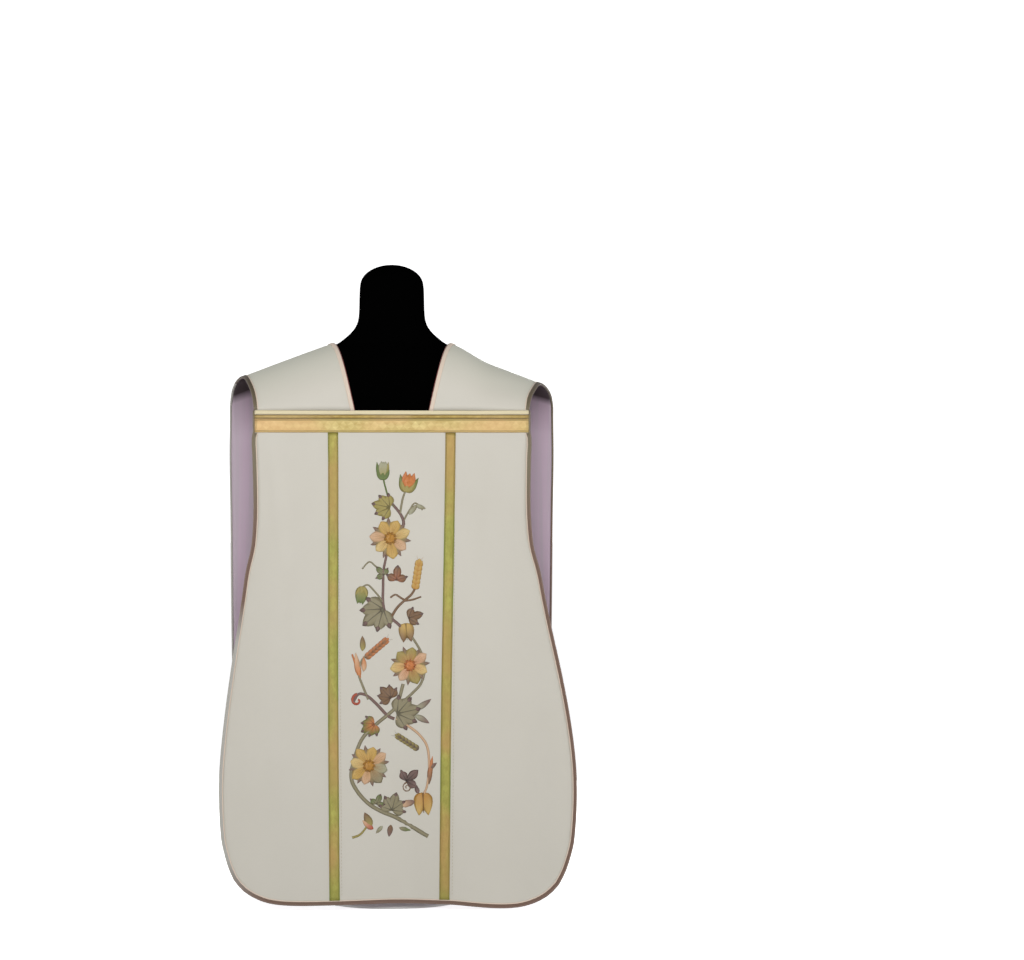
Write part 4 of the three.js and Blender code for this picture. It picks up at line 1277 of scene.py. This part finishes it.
def sideways(points, hand=1):
    """Adds to each pattern point the direction square to the line on the cloth, mitred at corners."""
    path = []
    for k, (x, s) in enumerate(points):
        xx, xs, ss = measure(x, s)
        sides = []
        for a, b in ((k - 1, k), (k, k + 1)):
            if a < 0 or b == len(points):
                continue
            dx, ds = points[b][0] - points[a][0], points[b][1] - points[a][1]
            nx, ns = -(xs * dx + ss * ds), xx * dx + xs * ds
            size = math.sqrt(xx * nx * nx + 2 * xs * nx * ns + ss * ns * ns)
            if size > 1e-6:
                sides.append((nx / size * hand, ns / size * hand))
        nx, ns = (sum(side[i] for side in sides) for i in (0, 1))
        scale = len(sides) / (xx * nx * nx + 2 * xs * nx * ns + ss * ns * ns)
        path.append((x, s, nx * scale, ns * scale))
    return path


def tube(mesh, points, radius, out):
    """A round cord laid along pattern points, with its middle `out` above the inner face."""
    rows = measured(sideways(points))

    def shape(u, v):
        x, s, side_x, side_s, far = part_way(rows, v)
        size = math.hypot(side_x, side_s) or 1.0
        angle = 2 * math.pi * u
        over = radius * math.cos(angle)
        spot = place(x + side_x / size * over, s + side_s / size * over, out + radius * math.sin(angle))
        return spot, (u * 2 * math.pi * radius * MM, far * MM)

    verts = mapped_grid(mesh, CORD_SIDES, len(rows) - 1, shape)[0]
    bmesh.ops.remove_doubles(mesh, verts=verts, dist=1e-6)
    open_ends = [edge for edge in mesh.edges if edge.is_boundary]
    bmesh.ops.holes_fill(mesh, edges=open_ends, sides=CORD_SIDES)
    bmesh.ops.recalc_face_normals(mesh, faces=mesh.faces)


def front_edge_points(count_side=70, count_hem=60):
    """The front panel's edge from the seam at the left, round the hem, to the seam at the right."""
    left = [front_pattern(-1, 1 - k / count_side) for k in range(count_side)]
    hem = [front_pattern(-1 + 2 * k / count_hem, 0) for k in range(count_hem)]
    right = [front_pattern(1, k / count_side) for k in range(count_side + 1)]
    return left + hem + right


def back_edge_points(count_side=110, count_hem=40):
    """The back's edge from the left seam, over the shoulder, round the hem and up the right."""
    right = [back_side_pattern(1, k / count_side) for k in range(count_side + 1)]
    half_hem = [back_side_pattern(k / count_hem, 0) for k in range(count_hem)]
    half = half_hem + right
    middle = [back_middle_pattern(-1 + k / 10, 0) for k in range(1, 20)]
    left = [(-x, s) for x, s in reversed(half)]
    return left + middle + half


def neck_points(count_front=40, count_back=24):
    """The neckline from the left seam round the back of the neck to the right seam."""
    seam = seam_way(NECK_SEAM)
    corner_s = neck_way(NECK_CORNER)
    behind = [NECK_CORNER * k / count_back for k in range(1, count_back)]
    half = [(x, neck_way(x)) for x in behind]
    for k in range(count_front + 1):
        s = mix(corner_s, seam, k / count_front)
        half.append((neck_half(s), s))
    left = [(-x, s) for x, s in reversed(half)]
    return left + [(0.0, neck_way(0.0))] + half


def inset_path(points, distance, hand):
    """The path moved in from an edge, keeping its sideways directions."""
    path = sideways(points, hand)
    return [(x + nx * distance, s + ns * distance, nx, ns) for x, s, nx, ns in path]


# What a user can change, with the values of this chasuble

def colour_setting(name, description, default):
    return FloatVectorProperty(
        name=name, description=description, subtype="COLOR", size=3, min=0, max=1, default=default
    )


class ChasubleColours(bpy.types.PropertyGroup):
    """The colours of the cloth and trim, as linear light."""

    front: colour_setting("Front silk", "Warm ivory silk of the front and straps", (0.66, 0.632, 0.562))
    back: colour_setting("Back silk", "Cooler ivory of the back", (0.58, 0.615, 0.505))
    lining: colour_setting("Lining", "Lilac-grey satin lining", (0.74, 0.57, 0.69))
    braid: colour_setting("Edge braid", "Brown braid of the sides and hems", (0.16, 0.09, 0.06))
    neck: colour_setting("Neck braid", "Pale peach braid of the neck opening", (0.8, 0.66, 0.54))
    cord: colour_setting("Edge cord", "Dark brown cord along the edges", (0.25, 0.155, 0.115))
    form: colour_setting("Dress form", "Black cover of the dress form", (0.0004, 0.0004, 0.0004))
    stand: colour_setting("Stand", "Pale paint of the pole and base", (0.72, 0.71, 0.69))


class ChasubleSizes(bpy.types.PropertyGroup):
    """How finely the cloth is made, and how far off the camera is."""

    columns: IntProperty(name="Cloth columns", description="Faces across each panel of cloth",
                         default=64, min=16, max=120)
    rows: IntProperty(name="Cloth rows", description="Faces down each panel of cloth",
                      default=96, min=24, max=200)
    camera_distance: FloatProperty(name="Camera distance", description="From the neck to the camera",
                                   default=7.0, min=2.0, max=20.0, unit="LENGTH")


class AddFront(bpy.types.Operator):
    """Cut and hang the front panel and its lining"""

    bl_idname = "chasuble.add_front"
    bl_label = "Front panel"

    def execute(self, context):
        sizes, colours = context.scene.chasuble_sizes, context.scene.chasuble_colours
        cloth = silk("Front silk", colours.front)
        lining = satin("Lining satin", colours.lining)
        layers = (
            ("front_cloth", cloth, "front_cloth", "front_panel", 0.0, CLOTH_THICK),
            ("front_lining_satin", lining, "lining", "front_lining", LINING_IN, LINING_THICK),
        )
        for name, material, slot, node, out, thickness in layers:
            mesh = new_mesh()
            cloth_panel(mesh, sizes.columns, sizes.rows, front_pattern, out)
            finish_piece(name, mesh, material, slot, [node], thickness)
        return {"FINISHED"}


class AddBack(bpy.types.Operator):
    """Cut and hang the back with its straps, and its lining"""

    bl_idname = "chasuble.add_back"
    bl_label = "Back and straps"

    def execute(self, context):
        sizes, colours = context.scene.chasuble_sizes, context.scene.chasuble_colours
        cloth = silk("Back silk", colours.front, colours.back)
        lining = bpy.data.materials["Lining satin"]
        layers = (
            ("back_cloth", cloth, "back_cloth", "back_and_straps", 0.0, CLOTH_THICK),
            ("back_lining_satin", lining, "lining", "back_lining", LINING_IN, LINING_THICK),
        )
        side_rows = 4 * round(sizes.rows * SIDE_ROWS / 4)
        middle_rows = round(side_rows * SIDE_SHARE)
        for name, material, slot, node, out, thickness in layers:
            mesh = new_mesh()
            for mirror in (-1, 1):
                cloth_panel(mesh, sizes.columns // 2, side_rows, back_side_pattern, out, 0.0, mirror)
            cloth_panel(mesh, sizes.columns // 3, middle_rows, back_middle_pattern, out)
            finish_piece(name, mesh, material, slot, [node], thickness, weld=WELD)
        return {"FINISHED"}


class AddGalloons(bpy.types.Operator):
    """Sew on the galloons of the chest, the front column and the cross"""

    bl_idname = "chasuble.add_galloons"
    bl_label = "Galloons"

    def execute(self, context):
        width = BAND_HIGH - BAND_LOW
        bright = galloon_gold("Bright galloon", BRIGHT_GOLDS, width, 0.35)
        olive = galloon_gold("Olive galloon", OLIVE_GOLDS, GALLOON_WIDTH)
        heading_shade = galloon_gold("Galloon heading and shade", HEADING_SHADE_GOLDS, HEADING_SHADE_WIDTH)

        mesh = new_mesh()
        ribbon(mesh, sideways(level_points((BAND_LOW + BAND_HIGH) / 2)), width / 2, TRIM_IN)
        finish_piece("galloon_chest_weave", mesh, bright, "bright_galloon", ["galloon_chest"], GALLOON_THICK)
        mesh = new_mesh()
        # painted shade: the dark heading strip also stands for the shade of the gap between the seam braid
        # and the chest galloon
        middle = BAND_HIGH + HEADING_SHADE_GAP + HEADING_SHADE_WIDTH / 2
        ribbon(mesh, sideways(level_points(middle)), HEADING_SHADE_WIDTH / 2, CLOTH_THICK + HEADING_SHADE_RISE,
               HEADING_SHADE_CROWN)
        finish_piece("galloon_chest_heading_shade", mesh, heading_shade, "bright_galloon", thickness=HEADING_SHADE_THICK)

        lines = (
            ("front_left", column_path(-1), 0.0),
            ("front_right", column_path(1), 0.0),
            ("cross", cross_path(), WELD),
        )
        for name, path, weld in lines:
            mesh = new_mesh()
            ribbon(mesh, path, GALLOON_WIDTH / 2, TRIM_IN)
            finish_piece(f"galloon_{name}_weave", mesh, olive, "galloon", [f"galloon_{name}"], GALLOON_THICK,
                         weld=weld)
        return {"FINISHED"}


def column_path(side, count=120):
    """The middle line of an upright galloon of the front, from the chest galloon down to the hem's braid."""
    points = []
    for k in range(count + 1):
        z = mix(BAND_LOW - COLUMN_GAP, BRAID_WIDTH + BUTT_GAP, k / count)
        x = side * column_half(z)
        points.append((x, way_to(x, z, -1)))
    return sideways(points)


def cross_corners(inset):
    """Corners of the cross's outline in (x, z), moved in by a distance, from the foot's middle round."""
    bottom, upper = CROSS_BOTTOM - inset, CROSS_TOP - inset
    arm = ARM_REACH - inset
    half = [
        (bottom, CROSS_LOW + inset), (upper, ARM_LOW + inset), (arm, ARM_LOW + inset),
        (arm, ARM_HIGH - inset), (upper, ARM_HIGH - inset), (upper, CROSS_HIGH - inset),
    ]
    return [(0, CROSS_LOW + inset)] + half + [(-x, z) for x, z in reversed(half)] + [(0, CROSS_LOW + inset)]


def cross_path(inset=GALLOON_WIDTH / 2, step=9.0):
    """The middle line of the cross's galloon, mitred at its corners."""
    corners = cross_corners(inset)
    points = []
    for (x0, z0), (x1, z1) in zip(corners, corners[1:]):
        size = math.dist((x0, z0), (x1, z1))
        count = max(1, round(size / step))
        for k in range(count):
            points.append((mix(x0, x1, k / count), mix(z0, z1, k / count)))
    points.append(corners[-1])
    return sideways([(x, way_to(x, z, 1)) for x, z in points])


class AddBraids(bpy.types.Operator):
    """Lay the braid and its cord round every edge"""

    bl_idname = "chasuble.add_braids"
    bl_label = "Edge braids"

    def execute(self, context):
        colours = context.scene.chasuble_colours
        brown = edge_braid("Edge braid", colours.braid, scaled(colours.braid, 0.5), colours.neck)
        peach = edge_braid("Neck braid", colours.neck, scaled(colours.neck, 0.75))
        cream = edge_braid("Seam braid", CREAM_GOLD, scaled(CREAM_GOLD, 0.6))
        edge_cord = twisted_cord("Edge cord", colours.cord, scaled(colours.cord, 0.5))
        neck_cord = twisted_cord("Neck cord", DARK_RED, scaled(DARK_RED, 0.5), has_olive_and_painted_light=False)
        half = BRAID_WIDTH / 2
        front = front_edge_points()
        below_band = [(x, s) for x, s in front if s < way_to(x, BAND_LOW - 1, -1)]
        tops = [(x, way_to(x, BAND_LOW - BUTT_GAP, -1)) for x, _ in (below_band[0], below_band[-1])]
        below_band = [tops[0], *below_band, tops[1]]
        seam = sideways(level_points(SEAM_HEIGHT - half))
        ribbons = (
            ("braid_front_edge", overhung(inset_path(below_band, half, 1)), brown),
            ("braid_back_edge", inset_path(back_edge_points(), half, -1), brown),
            ("braid_neck", inset_path(neck_points(), half, 1), peach),
            ("braid_seam", seam, cream),
        )
        for node, path, finish in ribbons:
            mesh = new_mesh()
            ribbon(mesh, path, half - BRAID_EASE, TRIM_IN, BRAID_CROWN, columns=4)
            finish_piece(f"{node}_ribbon", mesh, finish, "braid", [node], BRAID_THICK)
        cords = (
            ("cord_front_edge", front, 1, CORD_RADIUS, edge_cord),
            ("cord_back_edge", back_edge_points(), -1, CORD_RADIUS, edge_cord),
            ("cord_neck", neck_points(), 1, NECK_CORD_RADIUS, neck_cord),
        )
        for name, points, hand, radius, finish in cords:
            mesh = new_mesh()
            path = inset_path(points, radius * CORD_INSET, hand)
            line = [(x, s) for x, s, _, _ in (overhung(path) if points is front else path)]
            tube(mesh, line, radius, CORD_MIDDLE)
            finish_piece(name, mesh, finish, "braid")
        return {"FINISHED"}


def level_points(z, count=90):
    """Pattern points across the front at one height."""
    reach = look_up(FRONT_SIDE, z)
    return [(x, way_to(x, z, -1)) for x in (mix(-reach, reach, k / count) for k in range(count + 1))]


class EmbroiderFront(bpy.types.Operator):
    """Work the vine up the front column"""

    bl_idname = "chasuble.embroider_front"
    bl_label = "Front embroidery"

    def execute(self, context):
        needle = Needle(-1)
        embroider_front(needle)
        needle.finished("embroidery_front")
        return {"FINISHED"}


class EmbroiderBack(bpy.types.Operator):
    """Work the vine, sprays and centre ornament of the cross"""

    bl_idname = "chasuble.embroider_back"
    bl_label = "Back embroidery"

    def execute(self, context):
        for name, work in (("embroidery_back", embroider_back), ("embroidery_centre", embroider_centre)):
            needle = Needle(1)
            work(needle)
            needle.finished(name)
        return {"FINISHED"}


# The galloons' sewing, in millimetres
STITCH_LENGTH, STITCH_WIDTH = 3.4, 0.9
STITCH_GAP = 6.5
STITCH_INSET, CHEST_STITCH_INSET = 1.4, 1.6
CHEST_STITCH_REACH = 258


class AddStitching(bpy.types.Operator):
    """Sew the galloons down with small running stitches"""

    bl_idname = "chasuble.add_stitching"
    bl_label = "Stitching"

    def execute(self, context):
        top = TRIM_IN + GALLOON_THICK - THREAD_IN
        off = GALLOON_WIDTH / 2 - STITCH_INSET
        front = Needle(-1)
        front.raised(top)
        for side in (-1, 1):
            for from_middle in (-off, off):
                ends = (BAND_LOW - 4, BRAID_WIDTH + 6)
                running_stitches(front, [(side * column_half(z) + from_middle, z) for z in ends])
        for z in (BAND_LOW + CHEST_STITCH_INSET, BAND_HIGH - CHEST_STITCH_INSET):
            running_stitches(front, [(-CHEST_STITCH_REACH, z), (CHEST_STITCH_REACH, z)])
        front.finished("stitches_front")
        back = Needle(1)
        back.raised(top)
        for inset in (STITCH_INSET, GALLOON_WIDTH - STITCH_INSET):
            running_stitches(back, cross_corners(inset))
        back.finished("stitches_back")
        return {"FINISHED"}


def running_stitches(needle, line):
    """A row of short stitches along straight runs of (right, up) points."""
    for a, b in zip(line, line[1:]):
        size = math.dist(a, b)
        angle = math.atan2(b[0] - a[0], b[1] - a[1])
        for k in range(int(size / STITCH_GAP)):
            t = (k + 0.25) * STITCH_GAP / size
            needle.patch(blended(a, b, t), angle, STITCH_LENGTH, STITCH_WIDTH, STITCH_THREAD, STITCH_THREAD,
                         rise=0.5, rows=2)


JOINED_TURN = 0.7       # how far, as an angle, two of the torso's triangles may turn to be joined


class AddForm(bpy.types.Operator):
    """Cover the dress form and paint its stand"""

    bl_idname = "chasuble.add_form"
    bl_label = "Dress form"

    def execute(self, context):
        colours = context.scene.chasuble_colours
        cover = form_cover("Form cover", colours.form)
        mesh = bmesh.new()
        mesh.from_mesh(frame["nodes"]["form_torso"].data)
        bmesh.ops.remove_doubles(mesh, verts=mesh.verts, dist=WELD)
        bmesh.ops.join_triangles(
            mesh, faces=mesh.faces, angle_face_threshold=JOINED_TURN, angle_shape_threshold=JOINED_TURN
        )
        for face in mesh.faces:
            face.smooth = True
        piece = finish_piece("form_torso_cover", mesh, cover, "form_cover", ["form_torso"])
        rounding = piece.modifiers.new("Rounding", "SUBSURF")
        rounding.levels = rounding.render_levels = 1
        paint = stand_paint("Stand paint", colours.stand)
        for name in ("form_pole", "form_base"):
            for stand_slot in frame["nodes"][name].material_slots:
                stand_slot.material = paint
        return {"FINISHED"}


class DeclareCloth(bpy.types.Operator):
    """Work out each piece of cloth's flat size, what it rests on and its trim, and do nothing more with them
    """

    bl_idname = "chasuble.declare_cloth"
    bl_label = "Cloth facts"

    def execute(self, context):
        made = bpy.data.objects
        front_flat = (2 * max(half for _, half in FRONT_SIDE) * MM, (SEAM_HEIGHT - FRONT_HEM[2][1]) * MM)
        strap_end = -seam_way(NECK_SEAM)
        back_length = (way_to(0, BACK_HEM[0][1], 1) + strap_end) * MM
        back_flat = (2 * max(half for _, half in BACK_SIDE) * MM, back_length)
        front_trim = [made[name] for name in (
            "galloon_chest_weave", "galloon_front_left_weave", "galloon_front_right_weave",
            "braid_front_edge_ribbon", "braid_seam_ribbon", "cord_front_edge", "galloon_chest_heading_shade",
            "embroidery_front", "stitches_front",
        )]
        back_trim = [made[name] for name in (
            "galloon_cross_weave", "braid_back_edge_ribbon", "braid_neck_ribbon", "cord_back_edge",
            "cord_neck", "embroidery_back", "embroidery_centre", "stitches_back",
        )]
        sheets = (
            ("front_cloth", front_flat, "back_cloth", front_trim),
            ("front_lining_satin", front_flat, "front_cloth", ()),
            ("back_cloth", back_flat, "form_torso_cover", back_trim),
            ("back_lining_satin", back_flat, "form_torso_cover", ()),
        )
        for name, flat, rest, trim in sheets:
            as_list(trim)
        return {"FINISHED"}


# The photograph's view: from straight in front, with the object left of the picture's middle
CAMERA_TURN = -0.0342
CAMERA_HEIGHT = 0.838
CAMERA_LENS = 123.5
FLOOR_REACH = 40.0
SKY_REACH = 60.0
SKY_GLOW, FLOOR_GLOW = 1.0, 0.7
AIR_LIGHT = 0.35
LIT_PLACE = (0, 0, 0.7)       # where the lights point
LIGHTS = (
    # name, place, size in metres, power in watts
    ("Key light", (-0.1, -2.8, 1.6), 1.5, 50),
    ("Back light", (0.4, 2.8, 0.85), 1.5, 52),
    ("Left light", (-3.6, 0.2, 1.2), 1.6, 34),
    ("Right light", (3.6, -0.2, 1.2), 1.6, 34),
)


class AddStage(bpy.types.Operator):
    """Set up the pale backdrop, the lights and the camera"""

    bl_idname = "chasuble.add_stage"
    bl_label = "Stage"

    def execute(self, context):
        scene = context.scene
        backdrop = glowing("Backdrop white", SKY_GLOW)
        floor = stage_piece("floor", bmesh.ops.create_circle, glowing("Floor white", FLOOR_GLOW),
                            cap_ends=True, segments=96, radius=FLOOR_REACH)
        sky = stage_piece("sky", bmesh.ops.create_icosphere, backdrop, subdivisions=3, radius=SKY_REACH)
        floor.visible_diffuse = False
        for flag in ("visible_diffuse", "visible_glossy", "visible_transmission", "visible_shadow"):
            setattr(sky, flag, False)
        for name, at, size, power in LIGHTS:
            data = bpy.data.lights.new(name, "AREA")
            data.size = size
            data.energy = power
            light = bpy.data.objects.new(name, data)
            light.location = at
            light.visible_camera = False
            light.rotation_euler = (Vector(LIT_PLACE) - Vector(at)).to_track_quat("-Z", "Y").to_euler()
            scene.collection.objects.link(light)
        world = bpy.data.worlds.new("Studio")
        world.use_nodes = True
        background = world.node_tree.nodes["Background"]
        background.inputs[0].default_value = (1.0, 1.0, 1.0, 1.0)
        background.inputs[1].default_value = AIR_LIGHT
        scene.world = world
        scene.view_settings.view_transform = "Standard"
        data = bpy.data.cameras.new("Camera")
        data.lens = CAMERA_LENS
        camera = bpy.data.objects.new("Camera", data)
        camera.location = (0, -scene.chasuble_sizes.camera_distance, CAMERA_HEIGHT)
        camera.rotation_euler = (math.pi / 2, 0, CAMERA_TURN)
        scene.collection.objects.link(camera)
        scene.camera = camera
        return {"FINISHED"}


def glowing(name, strength):
    """Matt white that also glows a little, so that it renders white."""
    made = Finish(name, Roughness=0.95, Specular_IOR_Level=0.0)
    grain = made.noise(made.place_on(), 3.0)
    made.feed("Base Color", made.blend(grain, (0.9, 0.9, 0.9), (0.93, 0.93, 0.93)))
    made.shader.inputs["Emission Color"].default_value = (1.0, 1.0, 1.0, 1.0)
    made.shader.inputs["Emission Strength"].default_value = strength
    return made.material


def stage_piece(name, create, material, **sizes):
    """A plain piece of the set, which isn't part of the object."""
    mesh = bmesh.new()
    create(mesh, **sizes)
    data = bpy.data.meshes.new(name)
    mesh.to_mesh(data)
    mesh.free()
    data.materials.append(material)
    piece = bpy.data.objects.new(name, data)
    bpy.context.scene.collection.objects.link(piece)
    return piece


OPERATORS = (
    AddFront, AddBack, AddGalloons, AddBraids, EmbroiderFront, EmbroiderBack, AddStitching, AddForm,
    DeclareCloth, AddStage,
)


class ChasublePanel(bpy.types.Panel):
    """Lists the steps that make the chasuble"""

    bl_idname = "VIEW3D_PT_chasuble"
    bl_label = "Fiddleback chasuble"
    bl_space_type = "VIEW_3D"
    bl_region_type = "UI"
    bl_category = "Chasuble"

    def draw(self, context):
        layout = self.layout
        for group in (context.scene.chasuble_sizes, context.scene.chasuble_colours):
            for name in group.__annotations__:
                layout.prop(group, name)
        for operator in OPERATORS:
            layout.operator(operator.bl_idname)


CLASSES = (ChasubleColours, ChasubleSizes, *OPERATORS, ChasublePanel)


def register():
    for cls in CLASSES:
        bpy.utils.register_class(cls)
    bpy.types.Scene.chasuble_colours = PointerProperty(type=ChasubleColours)
    bpy.types.Scene.chasuble_sizes = PointerProperty(type=ChasubleSizes)


def unregister():
    del bpy.types.Scene.chasuble_sizes
    del bpy.types.Scene.chasuble_colours
    for cls in reversed(CLASSES):
        bpy.utils.unregister_class(cls)


def main():
    register()
    for operator in OPERATORS:
        group, name = operator.bl_idname.split(".")
        getattr(getattr(bpy.ops, group), name)()


if __name__ == "__main__":
    main()
